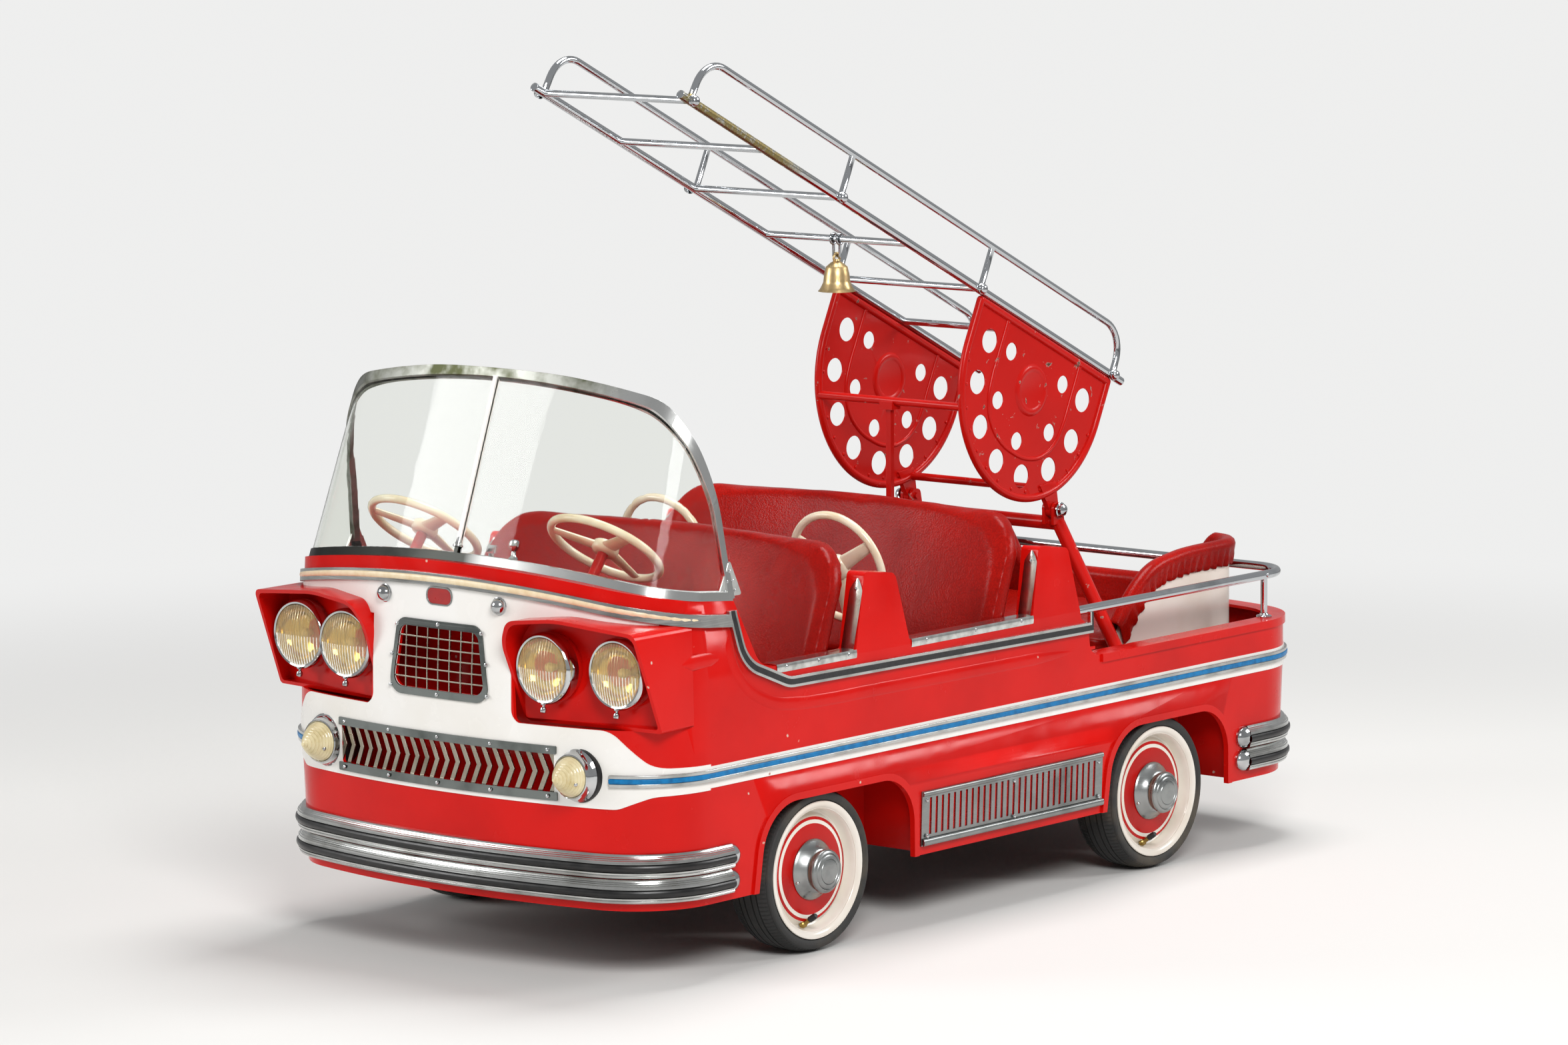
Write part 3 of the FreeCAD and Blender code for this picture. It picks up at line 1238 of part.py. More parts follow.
louvre_low = size("louvre_bottom")
face_x = HALF - tuck(louvre_low) + 0.02
lean_angle = math.degrees(math.atan2(size("bottom_tuck"), size("waist_height") - BOTTOM))
for side_name, side in (("left", 1), ("right", -1)):
    start = Vector(side * face_x, size("louvre_front"), louvre_low)
    turn = SIDE
    if side < 0:
        start.y = size("louvre_front") + size("louvre_length")
        turn = Rotation(Vector(0, 0, 1), 180) * SIDE
    turn = Rotation(Vector(0, 1, 0), side * lean_angle) * turn
    louvre_panel("louvre_panel_" + side_name, Placement(start, turn))

# Bell: hung in two rings round a rung of the ladder, with its clapper.
hang = on_ladder(0, 3 * pitch, 0)
wire_radius = 2.5
rung_hole = size("rung_radius") + size("pivot_clearance")
hanger = []
for across in (-7, 7):
    spot = hang + Vector(across, 0, 0)
    hanger.append(Part.makeTorus(rung_hole + wire_radius, wire_radius, spot, Vector(1, 0, 0)))
    hanger.append(bar(spot - Vector(0, 0, rung_hole + wire_radius), spot - Vector(0, 0, 30),
                      wire_radius))
    hanger.append(Part.makeSphere(wire_radius, spot - Vector(0, 0, 30)))
hanger.append(bar(hang + Vector(-7, 0, -30), hang + Vector(7, 0, -30), wire_radius))
feature("bell_hanger", joined(hanger))
mouth = hang - Vector(0, 0, 90)
half = size("bell_radius")
tall = size("bell_height")
thin = size("bell_wall")
profile = [(half, 0), (half - 4, 5), (half - 9, 15), (half - 11, 30), (half - 14, 42),
           (half - 22, tall - 3), (5, tall), (4, tall + 3), (0, tall + 3)]
inner_line = [(0, tall - thin), (half - 24, tall - thin - 1), (half - 16.5, 41 - thin),
              (half - 14, 29), (half - 12, 14), (half - 7, 5), (half - 3, 0)]
points = [Vector(a, 0, b) for a, b in profile + inner_line]
section = Part.Face(Part.makePolygon(points + points[:1]))
bell = section.revolve(Vector(0, 0, 0), Vector(0, 0, 1), 360)
eye = Part.makeTorus(7.6, 2.4, Vector(0, 0, 57.3), Vector(1, 0, 0))
bell = bell.fuse(eye)
bell.translate(mouth)
clapper = joined([bar(mouth + Vector(0, 0, tall - thin), mouth + Vector(0, 0, 8), 1.8),
                  Part.makeSphere(6, mouth + Vector(0, 0, 6))])
feature("bell", bell.cut(joined(hanger)).fuse(clapper))

doc.recompute()
for item in nodes:
    states = item.State
    assert "Invalid" not in states and "Error" not in states, item.Label
    assert not item.Shape.isNull() and item.Shape.isValid(), item.Label
os.makedirs("parts", exist_ok=True)
for item in nodes:
    item.Shape.exportStep("parts/%s.step" % item.Label)
    print(item.Label, len(item.Shape.Solids), round(item.Shape.Volume / 1000))
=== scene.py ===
import json
import math

import bmesh
import bpy
from mathutils import Matrix, Vector

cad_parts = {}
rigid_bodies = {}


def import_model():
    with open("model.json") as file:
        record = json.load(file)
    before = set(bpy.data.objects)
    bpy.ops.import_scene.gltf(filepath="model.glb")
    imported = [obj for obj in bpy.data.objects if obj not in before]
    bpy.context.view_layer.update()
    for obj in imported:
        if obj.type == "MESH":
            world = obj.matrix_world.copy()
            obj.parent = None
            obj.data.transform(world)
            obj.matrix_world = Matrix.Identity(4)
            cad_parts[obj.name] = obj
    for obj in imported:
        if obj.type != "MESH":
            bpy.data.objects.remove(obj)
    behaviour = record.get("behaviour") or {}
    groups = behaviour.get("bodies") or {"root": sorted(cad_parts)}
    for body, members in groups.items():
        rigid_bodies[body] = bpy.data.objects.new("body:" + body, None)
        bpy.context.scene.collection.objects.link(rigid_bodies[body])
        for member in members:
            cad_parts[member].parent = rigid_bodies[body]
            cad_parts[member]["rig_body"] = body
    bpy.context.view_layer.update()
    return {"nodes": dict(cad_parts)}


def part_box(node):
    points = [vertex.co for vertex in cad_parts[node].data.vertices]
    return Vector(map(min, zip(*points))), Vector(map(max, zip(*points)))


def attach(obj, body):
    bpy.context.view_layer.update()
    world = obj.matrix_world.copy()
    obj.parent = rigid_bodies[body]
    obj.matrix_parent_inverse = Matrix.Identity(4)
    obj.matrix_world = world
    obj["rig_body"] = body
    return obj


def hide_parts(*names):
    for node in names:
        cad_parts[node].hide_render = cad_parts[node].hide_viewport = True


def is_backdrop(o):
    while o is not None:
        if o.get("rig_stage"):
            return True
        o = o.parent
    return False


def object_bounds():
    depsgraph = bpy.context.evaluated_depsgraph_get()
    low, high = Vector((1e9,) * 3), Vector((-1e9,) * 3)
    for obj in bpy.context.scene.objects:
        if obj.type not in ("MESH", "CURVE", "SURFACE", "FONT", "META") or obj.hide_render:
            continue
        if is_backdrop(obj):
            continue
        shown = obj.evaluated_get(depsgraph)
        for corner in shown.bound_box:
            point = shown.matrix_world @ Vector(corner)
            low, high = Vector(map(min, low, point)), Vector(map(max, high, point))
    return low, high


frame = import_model()

# Body: a glass fibre moulding in three lengths, sprayed and polished red, with rolled wheel
# arches and two hoods over the headlamps. Years of riders have dulled and chipped it.


def linear(code):
    """An sRGB hex colour as linear numbers with full alpha."""
    parts = [int(code[place:place + 2], 16) / 255 for place in (0, 2, 4)]
    return tuple(part / 12.92 if part <= 0.04045 else ((part + 0.055) / 1.055) ** 2.4
                 for part in parts) + (1.0,)


def add(material, kind, settings=None, links=None):
    """Adds a node to a material or a world, with its settings and its links."""
    node = material.node_tree.nodes.new(kind)
    for key, setting in (settings or {}).items():
        if isinstance(key, int) or key in node.inputs:
            node.inputs[key].default_value = setting
        else:
            setattr(node, key, setting)
    for key, socket in (links or {}).items():
        material.node_tree.links.new(socket, node.inputs[key])
    return node


def material_of(name, settings):
    """A material with its shader alone, and the object's coordinates to build a pattern on."""
    material = bpy.data.materials.new(name)
    material.use_nodes = True
    material.node_tree.nodes.clear()
    shader = add(material, "ShaderNodeBsdfPrincipled", settings)
    add(material, "ShaderNodeOutputMaterial", {}, {"Surface": shader.outputs["BSDF"]})
    place = add(material, "ShaderNodeTexCoord").outputs["Object"]
    return material, shader, place


def wired(material, shader, sockets):
    """Links sockets to the shader's inputs and gives the finished material back."""
    for key, socket in sockets.items():
        material.node_tree.links.new(socket, shader.inputs[key])
    return material


def gelcoat(name, fresh, worn, chip, gloss):
    """Sprayed glass fibre: even colour, faint clouds where it was rubbed, chips and nicks."""
    material, shader, place = material_of(name, {
        "Roughness": gloss, "IOR": 1.45, "Specular IOR Level": 0.22})
    clouds = add(material, "ShaderNodeTexNoise", {"Scale": 5, "Detail": 5}, {"Vector": place})
    tone = add(material, "ShaderNodeMapRange", {"From Min": 0.4, "From Max": 0.72},
               {"Value": clouds.outputs["Fac"]})
    colour = add(material, "ShaderNodeMix", {"data_type": "RGBA", 6: linear(fresh),
                                             7: linear(worn)}, {0: tone.outputs["Result"]})
    cells = add(material, "ShaderNodeTexVoronoi", {"Scale": 26, "Randomness": 1.0},
                {"Vector": place})
    ragged = add(material, "ShaderNodeTexNoise", {"Scale": 190, "Detail": 3}, {"Vector": place})
    spot = add(material, "ShaderNodeMath", {"operation": "MULTIPLY_ADD", 1: 0.16},
               {0: ragged.outputs["Fac"], 2: cells.outputs["Distance"]})
    nick = add(material, "ShaderNodeMapRange", {"From Min": 0.150, "From Max": 0.130},
               {"Value": spot.outputs["Value"]})
    where = add(material, "ShaderNodeTexNoise", {"Scale": 7.3, "Detail": 2}, {"Vector": place})
    worn_spots = add(material, "ShaderNodeMapRange", {"From Min": 0.56, "From Max": 0.60},
                     {"Value": where.outputs["Fac"]})
    chips = add(material, "ShaderNodeMath", {"operation": "MULTIPLY"},
                {0: nick.outputs["Result"], 1: worn_spots.outputs["Result"]})
    chipped = add(material, "ShaderNodeMix", {"data_type": "RGBA", 7: linear(chip)},
                  {0: chips.outputs["Value"], 6: colour.outputs[2]})
    rub = add(material, "ShaderNodeTexNoise", {"Scale": 22, "Detail": 7}, {"Vector": place})
    dull = add(material, "ShaderNodeMapRange", {"From Min": 0.35, "From Max": 0.75,
                                                "To Min": gloss - 0.05, "To Max": gloss + 0.14},
               {"Value": rub.outputs["Fac"]})
    # Orange peel 4 mm across and a hair deep, and chips that go through the colour.
    peel = add(material, "ShaderNodeTexNoise", {"Scale": 240, "Detail": 1}, {"Vector": place})
    depth = add(material, "ShaderNodeMath", {"operation": "MULTIPLY_ADD", 1: -3.0},
                {0: chips.outputs["Value"], 2: peel.outputs["Fac"]})
    relief = add(material, "ShaderNodeBump", {"Strength": 0.05, "Distance": 0.001},
                 {"Height": depth.outputs["Value"]})
    return wired(material, shader, {
        "Base Color": chipped.outputs[2], "Roughness": dull.outputs["Result"],
        "Normal": relief.outputs["Normal"]})


def linked(name, data):
    """Puts a new object with its data into the scene."""
    item = bpy.data.objects.new(name, data)
    bpy.context.collection.objects.link(item)
    return item


def placed(name, mesh, materials, body, replaced=(), angle=35):
    """Makes a piece of a mesh: merged, facing outwards, smooth, with its finishes and body."""
    bmesh.ops.remove_doubles(mesh, verts=mesh.verts, dist=0.00002)
    bmesh.ops.recalc_face_normals(mesh, faces=mesh.faces)
    for face in mesh.faces:
        face.smooth = True
    data = bpy.data.meshes.new(name)
    mesh.to_mesh(data)
    mesh.free()
    data.set_sharp_from_angle(angle=math.radians(angle))
    for material in materials:
        data.materials.append(material)
    piece = linked(name, data)
    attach(piece, body)
    if replaced:
        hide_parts(*replaced)
    return piece


def softened(piece, width, angle=35):
    """Rounds a piece's edges with a small bevel."""
    bevel = piece.modifiers.new("edge", "BEVEL")
    bevel.width = width
    bevel.segments = 2
    bevel.limit_method = "ANGLE"
    bevel.angle_limit = math.radians(angle)
    bevel.harden_normals = True
    return piece


def node_copy(name):
    """A merged copy of a CAD node's mesh."""
    mesh = bmesh.new()
    mesh.from_mesh(frame["nodes"][name].data)
    bmesh.ops.remove_doubles(mesh, verts=mesh.verts, dist=0.00001)
    return mesh


def flats_joined(mesh):
    """Joins the triangles of flat faces."""
    bmesh.ops.dissolve_limit(mesh, angle_limit=math.radians(0.3), use_dissolve_boundaries=False,
                             verts=mesh.verts, edges=mesh.edges)


def dressed(name, material, edge=0.0, angle=30):
    """A merged copy of a CAD node with smooth faces, in its place, on its body."""
    mesh = node_copy(name)
    flats_joined(mesh)
    piece = placed("dressed_" + name, mesh, [material], frame["nodes"][name]["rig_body"],
                   (name,), angle)
    if edge:
        softened(piece, edge, angle)
    return piece


red_gelcoat = gelcoat("red polished gelcoat", "D2110B", "C00D08", "D8B8A8", 0.17)
for name in ("body_front", "body_side_left", "body_side_right", "body_rear", "headlamp_hoods",
             "wheel_boxes"):
    dressed(name, red_gelcoat)

# White trim: the front panel and the band round the waist are sprayed white over the red,
# a hair thicker than the red round them.
white_gelcoat = gelcoat("white polished gelcoat", "F1EFEB", "E8E4DC", "B9867A", 0.22)
WAIST_HEIGHT = 0.334
CREASE_HEIGHT = 0.480


def cut_away(mesh, point, normal, unwanted):
    """Cuts a mesh along a plane, then drops the faces whose middle is unwanted."""
    bmesh.ops.bisect_plane(mesh, geom=mesh.verts[:] + mesh.edges[:] + mesh.faces[:],
                           plane_co=point, plane_no=normal)
    bmesh.ops.delete(mesh, context="FACES", geom=[
        face for face in mesh.faces if unwanted(face.calc_center_median())])


# The white ends where the lamp hoods meet the belt, so its top corners are cut away behind it.
HOOD_END = -0.835
trim = node_copy("white_trim")
cut_away(trim, (0, HOOD_END, 0), (0, 1, 0),
         lambda middle: middle.y > HOOD_END and middle.z > CREASE_HEIGHT)
placed("white_band", trim, [white_gelcoat], "vehicle", ("white_trim",), 30)

# The moulding carries a soft raised crease on each side. One runs back from the lamp hood, and
# one follows the dip of the door opening a hand below it and then the belt to the tub.
def ridge(mesh, points, radius, faded=False):
    """Adds a round bead along a smooth line through points, its ends faded or full."""
    line = bpy.data.curves.new("ridge", "CURVE")
    line.dimensions = "3D"
    line.bevel_depth = radius
    line.bevel_resolution = 4
    line.use_fill_caps = True
    spline = line.splines.new("BEZIER")
    spline.bezier_points.add(len(points) - 1)
    for knot, point in zip(spline.bezier_points, points):
        knot.co = point
        knot.handle_left_type = knot.handle_right_type = "AUTO"
    if faded:
        spline.bezier_points[0].radius = spline.bezier_points[-1].radius = 0.2
    spline.resolution_u = 8
    holder = linked("ridge", line)
    swollen = bpy.data.meshes.new_from_object(holder.evaluated_get(
        bpy.context.evaluated_depsgraph_get()))
    mesh.from_mesh(swollen)
    bpy.data.objects.remove(holder)
    bpy.data.curves.remove(line)
    bpy.data.meshes.remove(swollen)
    return mesh


HALF_WIDTH = 0.420


def drawn_in(height):
    """How far the wall leans in at a height above the waist: little, then more."""
    if height < CREASE_HEIGHT:
        return 0.002 * (height - WAIST_HEIGHT) / 0.146
    return 0.002 + 0.012 * (height - CREASE_HEIGHT) / 0.220


def side_surface(height):
    """How far out the body's side stands at a height above the waist."""
    return HALF_WIDTH - drawn_in(height)


def verts_of(made):
    """The points among what an operator made."""
    return [item for item in made["geom"] if isinstance(item, bmesh.types.BMVert)]


CREASE_RADIUS = 0.012
CREASE_PROUD = 0.0013
CREASE_SUNK = 0.0012
creases = bmesh.new()
for line in (((-0.812, 0.5150), (-0.790, 0.5155), (-0.745, 0.516), (-0.712, 0.514)),
             ((-0.700, 0.560), (-0.697, 0.530), (-0.689, 0.501), (-0.676, 0.478),
              (-0.652, 0.455), (-0.619, 0.437), (-0.586, 0.426), (-0.553, 0.421),
              (-0.500, 0.417), (-0.340, 0.4155), (-0.100, 0.414), (0.090, 0.413),
              (0.260, 0.412))):
    ridge(creases, [(0, along, height) for along, height in line], CREASE_RADIUS, True)
for vert in creases.verts:
    proud = vert.co.x / CREASE_RADIUS * (CREASE_PROUD + CREASE_SUNK) - CREASE_SUNK
    vert.co.x = side_surface(vert.co.z) + proud
other = bmesh.ops.duplicate(creases, geom=creases.faces[:])
bmesh.ops.scale(creases, verts=verts_of(other), vec=(-1, 1, 1))
placed("body_creases", creases, [red_gelcoat], "vehicle", (), 50)


# Mouldings: drawn aluminium strips riveted on, with vinyl pushed into their grooves: cream
# round the cowl, black along the doors, blue round the waist.
def drawn(name, bright, dark, rough, lines):
    """Drawn or rolled metal: bright, with fine level lines from the die, and dull stains."""
    material, shader, place = material_of(name, {"Metallic": 1.0, "Roughness": rough})
    level = add(material, "ShaderNodeMapping", {"Scale": (3.0, 3.0, lines)}, {"Vector": place})
    streaks = add(material, "ShaderNodeTexNoise", {"Scale": 1, "Detail": 3},
                  {"Vector": level.outputs["Vector"]})
    patch_noise = add(material, "ShaderNodeTexNoise", {"Scale": 14, "Detail": 7}, {"Vector": place})
    tone = add(material, "ShaderNodeMapRange", {"From Min": 0.48, "From Max": 0.78},
               {"Value": patch_noise.outputs["Fac"]})
    colour = add(material, "ShaderNodeMix", {"data_type": "RGBA", 6: linear(bright),
                                             7: linear(dark)}, {0: tone.outputs["Result"]})
    dull = add(material, "ShaderNodeMapRange", {"From Min": 0.3, "From Max": 0.7,
                                                "To Min": rough * 0.7, "To Max": rough * 1.4},
               {"Value": streaks.outputs["Fac"]})
    relief = add(material, "ShaderNodeBump", {"Strength": 0.03, "Distance": 0.001},
                 {"Height": streaks.outputs["Fac"]})
    return wired(material, shader, {
        "Base Color": colour.outputs[2], "Roughness": dull.outputs["Result"],
        "Normal": relief.outputs["Normal"]})


def plain(name, code, deep, rough, grain, settings=None):
    """A moulded, dipped or stoved finish: even, with a faint mottle and dull patches."""
    material, shader, place = material_of(name, dict({"Roughness": rough}, **(settings or {})))
    mottle = add(material, "ShaderNodeTexNoise", {"Scale": grain, "Detail": 5},
                 {"Vector": place})
    tone = add(material, "ShaderNodeMapRange", {"From Min": 0.4, "From Max": 0.75},
               {"Value": mottle.outputs["Fac"]})
    colour = add(material, "ShaderNodeMix", {"data_type": "RGBA", 6: linear(code),
                                             7: linear(deep)}, {0: tone.outputs["Result"]})
    dull = add(material, "ShaderNodeMapRange", {"From Min": 0.3, "From Max": 0.7,
                                                "To Min": rough * 0.85, "To Max": rough * 1.2},
               {"Value": mottle.outputs["Fac"]})
    return wired(material, shader, {
        "Base Color": colour.outputs[2], "Roughness": dull.outputs["Result"]})


FRONT_END = -0.931
REAR_END = 0.941
CORNER = 0.150
BOW = 1.400
CORNER_STEPS = 12
BOW_STEPS = 20


def poured(part, whole):
    """Adds one mesh to another and frees it."""
    spare = bpy.data.meshes.new("part")
    part.to_mesh(spare)
    part.free()
    whole.from_mesh(spare)
    bpy.data.meshes.remove(spare)
    return whole


def swept(section, moves, finishes=None):
    """Carries a section of points through straight runs and turns about upright axes."""
    whole = bmesh.new()
    for place, ends in enumerate(zip(section, section[1:])):
        strip = bmesh.new()
        verts = [strip.verts.new(end) for end in ends]
        geometry = verts + [strip.edges.new(verts)]
        for centre, turn, run, count in moves:
            made = bmesh.ops.spin(strip, geom=geometry, cent=centre, axis=(0, 0, 1), angle=turn,
                                  dvec=Vector(run) / count, steps=count, use_merge=False,
                                  use_duplicate=False)
            geometry = made["geom_last"]
        for face in strip.faces:
            face.material_index = finishes[place] if finishes else 0
        poured(strip, whole)
    return whole


def round_the_end(profile, start, sign, finishes=None):
    """Sweeps a section (outwards, height) from the left side round an end to the right side."""
    across = HALF_WIDTH - CORNER
    bow_y = (FRONT_END if sign < 0 else REAR_END) - sign * BOW
    corner_y = bow_y + sign * math.sqrt((BOW - CORNER) ** 2 - across ** 2)
    lean = math.asin(across / (BOW - CORNER))
    corner_turn = sign * (math.pi / 2 - lean)
    return swept([(HALF_WIDTH + out, start, height) for out, height in profile], [
        ((0, 0, 0), 0, (0, corner_y - start, 0), 1),
        ((across, corner_y, 0), corner_turn, (0, 0, 0), CORNER_STEPS),
        ((0, bow_y, 0), sign * 2 * lean, (0, 0, 0), BOW_STEPS),
        ((-across, corner_y, 0), corner_turn, (0, 0, 0), CORNER_STEPS),
        ((0, 0, 0), 0, (0, start - corner_y, 0), 1)], finishes)


aluminium = drawn("polished drawn aluminium", "C4C5C3", "8E8E89", 0.20, 500.0)
dull_aluminium = drawn("dulled grey aluminium", "929594", "666967", 0.30, 400.0)
dressed("waist_moulding", aluminium, 0.0012)
# The belt strip and its insert stop at the tub, below the strip's own top edge there.
BELT_END = 0.4765
LAST_POST = 0.2


def closed(mesh):
    """Fills a mesh's open ends."""
    bmesh.ops.holes_fill(mesh, edges=[edge for edge in mesh.edges if edge.is_boundary])


def ended_at_the_tub(name):
    """A merged copy of a belt node without the upright run behind the last post."""
    belt = node_copy(name)
    cut_away(belt, (0, 0, BELT_END), (0, 0, 1),
             lambda middle: middle.y > LAST_POST and middle.z > BELT_END)
    closed(belt)
    flats_joined(belt)
    return belt


belt_strip = placed("belt_strip", ended_at_the_tub("belt_moulding"), [aluminium], "vehicle",
                    ("belt_moulding",), 30)
softened(belt_strip, 0.0012, 30)
black_vinyl = plain("black extruded vinyl", "141416", "232326", 0.28, 90)
blue_vinyl = plain("blue extruded vinyl", "0A78B4", "075C90", 0.34, 90,
                   {"Specular IOR Level": 0.25})
cream_vinyl = plain("cream extruded vinyl", "EFDDBB", "DFC598", 0.32, 60)
side_insert = placed("belt_insert_sides", ended_at_the_tub("belt_inserts"), [black_vinyl],
                     "vehicle", ("belt_inserts",), 30)
softened(side_insert, 0.002, 30)
dressed("waist_insert", blue_vinyl, 0.0015)

# The cream insert is a half round bead that follows the crowned belt round the cowl.
bead = [(0.0068, 0.6235), (0.0080, 0.6245), (0.0088, 0.6265), (0.0090, 0.6285),
        (0.0088, 0.6305), (0.0080, 0.6325), (0.0068, 0.6335)]
BEAD_SUNK = 0.0095
BEAD_START = -0.694
CROWN_FALL = 0.10
CROWN_REACH = 5.56
insert = round_the_end([(out - BEAD_SUNK, height) for out, height in bead], BEAD_START, -1)
for vert in insert.verts:
    vert.co.z -= CROWN_FALL * (vert.co.y - FRONT_END) + vert.co.x ** 2 / CROWN_REACH
placed("belt_insert_front", insert, [cream_vinyl], "vehicle")

# Bumpers: two drawn bars one above the other at each end. Each has a ribbed bright top, a
# black half round rubber below it and a plain lower lip, and ends in bright cast caps.
black_rubber = plain("black bumper rubber", "0E0E0F", "1D1C1B", 0.33, 40)
chrome = drawn("chromium plate", "C9CBCC", "8F9091", 0.07, 40.0)
BAR_PITCH = 0.041
BAR_MIDDLE = 0.0200
for label, low, start, sign in (("front", 0.134, -0.703, -1), ("rear", 0.138, 0.698, 1)):
    for step in range(2):
        base = low + BAR_PITCH * step
        # The body draws in by 6 mm over the 212 mm below its waist.
        tuck = 0.0008 + 0.006 * (WAIST_HEIGHT - base - 0.02) / 0.212
        section = [(0.000, 0.0400, 0), (0.0060, 0.0398, 0), (0.0078, 0.0378, 0),
                   (0.0085, 0.0360, 0), (0.0100, 0.0352, 0), (0.0106, 0.0335, 0),
                   (0.0122, 0.0327, 0), (0.0126, 0.0309, 0), (0.0141, 0.0300, 0),
                   (0.0145, 0.0270, 0), (0.0149, 0.0248, 0), (0.0132, 0.0243, 1),
                   (0.0160, 0.0232, 1), (0.0176, 0.0210, 1), (0.0180, 0.0180, 1),
                   (0.0176, 0.0150, 1), (0.0160, 0.0126, 1), (0.0132, 0.0112, 1),
                   (0.0149, 0.0106, 0), (0.0148, 0.0084, 0), (0.0128, 0.0076, 0),
                   (0.0138, 0.0060, 0), (0.0128, 0.0030, 0), (0.0080, 0.0010, 0),
                   (0.000, 0.0004, 0)]
        profile = [(out - tuck, base + height) for out, height, finish in section]
        bar = round_the_end(profile, start, sign,
                            [finish for out, height, finish in section[1:]])
        placed("bumper_%s_%d" % (label, step), bar, [aluminium, black_rubber],
                       "vehicle", (label + "_bumper", "bumper_bands"), 32)

        # Cap: a half ball, longer than wide, that closes the bar's end.
        for side in (-1, 1):
            cap = bmesh.new()
            bmesh.ops.create_uvsphere(cap, u_segments=24, v_segments=16, radius=1)
            bmesh.ops.bisect_plane(cap, geom=cap.verts[:] + cap.edges[:] + cap.faces[:],
                                   plane_co=(0, 0, 0), plane_no=(0, sign, 0),
                                   clear_outer=True)
            closed(cap)
            bmesh.ops.scale(cap, verts=cap.verts, vec=(0.0148, 0.024, 0.0198))
            bmesh.ops.translate(cap, verts=cap.verts, vec=(
                side * (HALF_WIDTH - tuck), start, base + BAR_MIDDLE))
            placed("bumper_cap_%s_%d_%d" % (label, step, side), cap, [chrome],
                           "vehicle", ("bumper_caps",))


# Front grilles: a wire mesh in a pressed frame, and below it chevron bars between two screwed
# strips. Frames are plated steel under a painted dark reflection and bars rubbed nickel, over
# the red shell behind.
def lathe(mesh, profile, centre, axis, steps=32, finishes=None):
    """Turns a profile (radius, distance along the axis) and adds it to a mesh."""
    axis = Vector(axis).normalized()
    centre = Vector(centre)
    side = axis.orthogonal().normalized()
    turned = bmesh.new()
    verts = [turned.verts.new(centre + side * radius + axis * along) for radius, along in profile]
    edges = [turned.edges.new(pair) for pair in zip(verts, verts[1:])]
    bmesh.ops.spin(turned, geom=verts + edges, cent=centre, axis=axis, angle=2 * math.pi,
                   steps=steps, use_merge=True, use_duplicate=False)
    if finishes and any(finishes):
        spots = [((a + c) / 2, (b + d) / 2) for (a, b), (c, d) in zip(profile, profile[1:])]
        for face in turned.faces:
            arm = face.calc_center_median() - centre
            along = arm.dot(axis)
            reach = (arm - axis * along).length
            gaps = [(reach - a) ** 2 + (along - b) ** 2 for a, b in spots]
            face.material_index = finishes[gaps.index(min(gaps))]
    return poured(turned, mesh)


def screw(mesh, centre, normal, radius=0.0034, finish=0):
    """A pan head screw or rivet, sunk a little into what it holds."""
    head = [(radius, -0.0006), (radius, radius * 0.15), (radius * 0.8, radius * 0.5),
            (radius * 0.4, radius * 0.68), (0.0, radius * 0.72)]
    lathe(mesh, head, centre, normal, 12, [finish] * 4)


def front_surface(across, height, out=0.0):
    """A point on the body's front at a place across and a height, moved outwards."""
    reach = BOW - drawn_in(height) + out
    return Vector((across, FRONT_END + BOW - math.sqrt(reach ** 2 - across ** 2), height))


def front_normal(across):
    """The direction that the body's front faces at a place across."""
    return Vector((across, -math.sqrt(BOW ** 2 - across ** 2), 0)).normalized()


# The frames' dark grey is a painted dark reflection on bright plating.
dressed("grille_frames", drawn("plated steel with painted dark reflection", "7C817F", "4A4F4C", 0.16, 300.0),
                0.0007)
dressed("grille_bars", drawn("rubbed brown nickel", "A39C8E", "736A5C", 0.28, 300.0),
                0.0005)
screws = bmesh.new()
for across, height in ((-0.0915, 0.549), (0, 0.5555), (0.0915, 0.549), (-0.1025, 0.500),
                       (0.1025, 0.500), (-0.105, 0.449), (0, 0.4425), (0.105, 0.449)):
    screw(screws, front_surface(across, height, 0.004), front_normal(across), 0.0036)
for across in (-0.222, -0.111, 0.0, 0.111, 0.222):
    for height in (0.3000, 0.3745):
        screw(screws, front_surface(across, height, 0.004), front_normal(across), 0.0032)
placed("grille_screws", screws, [chrome], "vehicle")

# Headlamps: two a side, set in the hoods. Each is a red pressed bucket, a chromed rim held by
# a screw with a ball nut, a silvered reflector with its bulb and a fluted, yellowed glass.
reflector_finish = drawn("yellowed silvered reflector", "E3CF92", "B79C5C", 0.10, 60.0)
lamp_glass, glass_shader, glass_place = material_of("yellowed pressed glass", {
    "Base Color": linear("F8EBC4"), "Roughness": 0.04, "Transmission Weight": 0.86, "IOR": 1.45})
haze = add(lamp_glass, "ShaderNodeTexNoise", {"Scale": 35, "Detail": 5}, {"Vector": glass_place})
haze_range = add(lamp_glass, "ShaderNodeMapRange", {"From Min": 0.3, "From Max": 0.75,
                                                    "To Min": 0.02, "To Max": 0.14},
                 {"Value": haze.outputs["Fac"]})
lamp_glass.node_tree.links.new(haze_range.outputs["Result"], glass_shader.inputs["Roughness"])
LAMP_HEIGHT = 0.5035
GLASS_RADIUS = 0.0493
DOME = 0.0095
FLUTE_DEPTH = 0.0019
FLUTE_PITCH = 0.0056
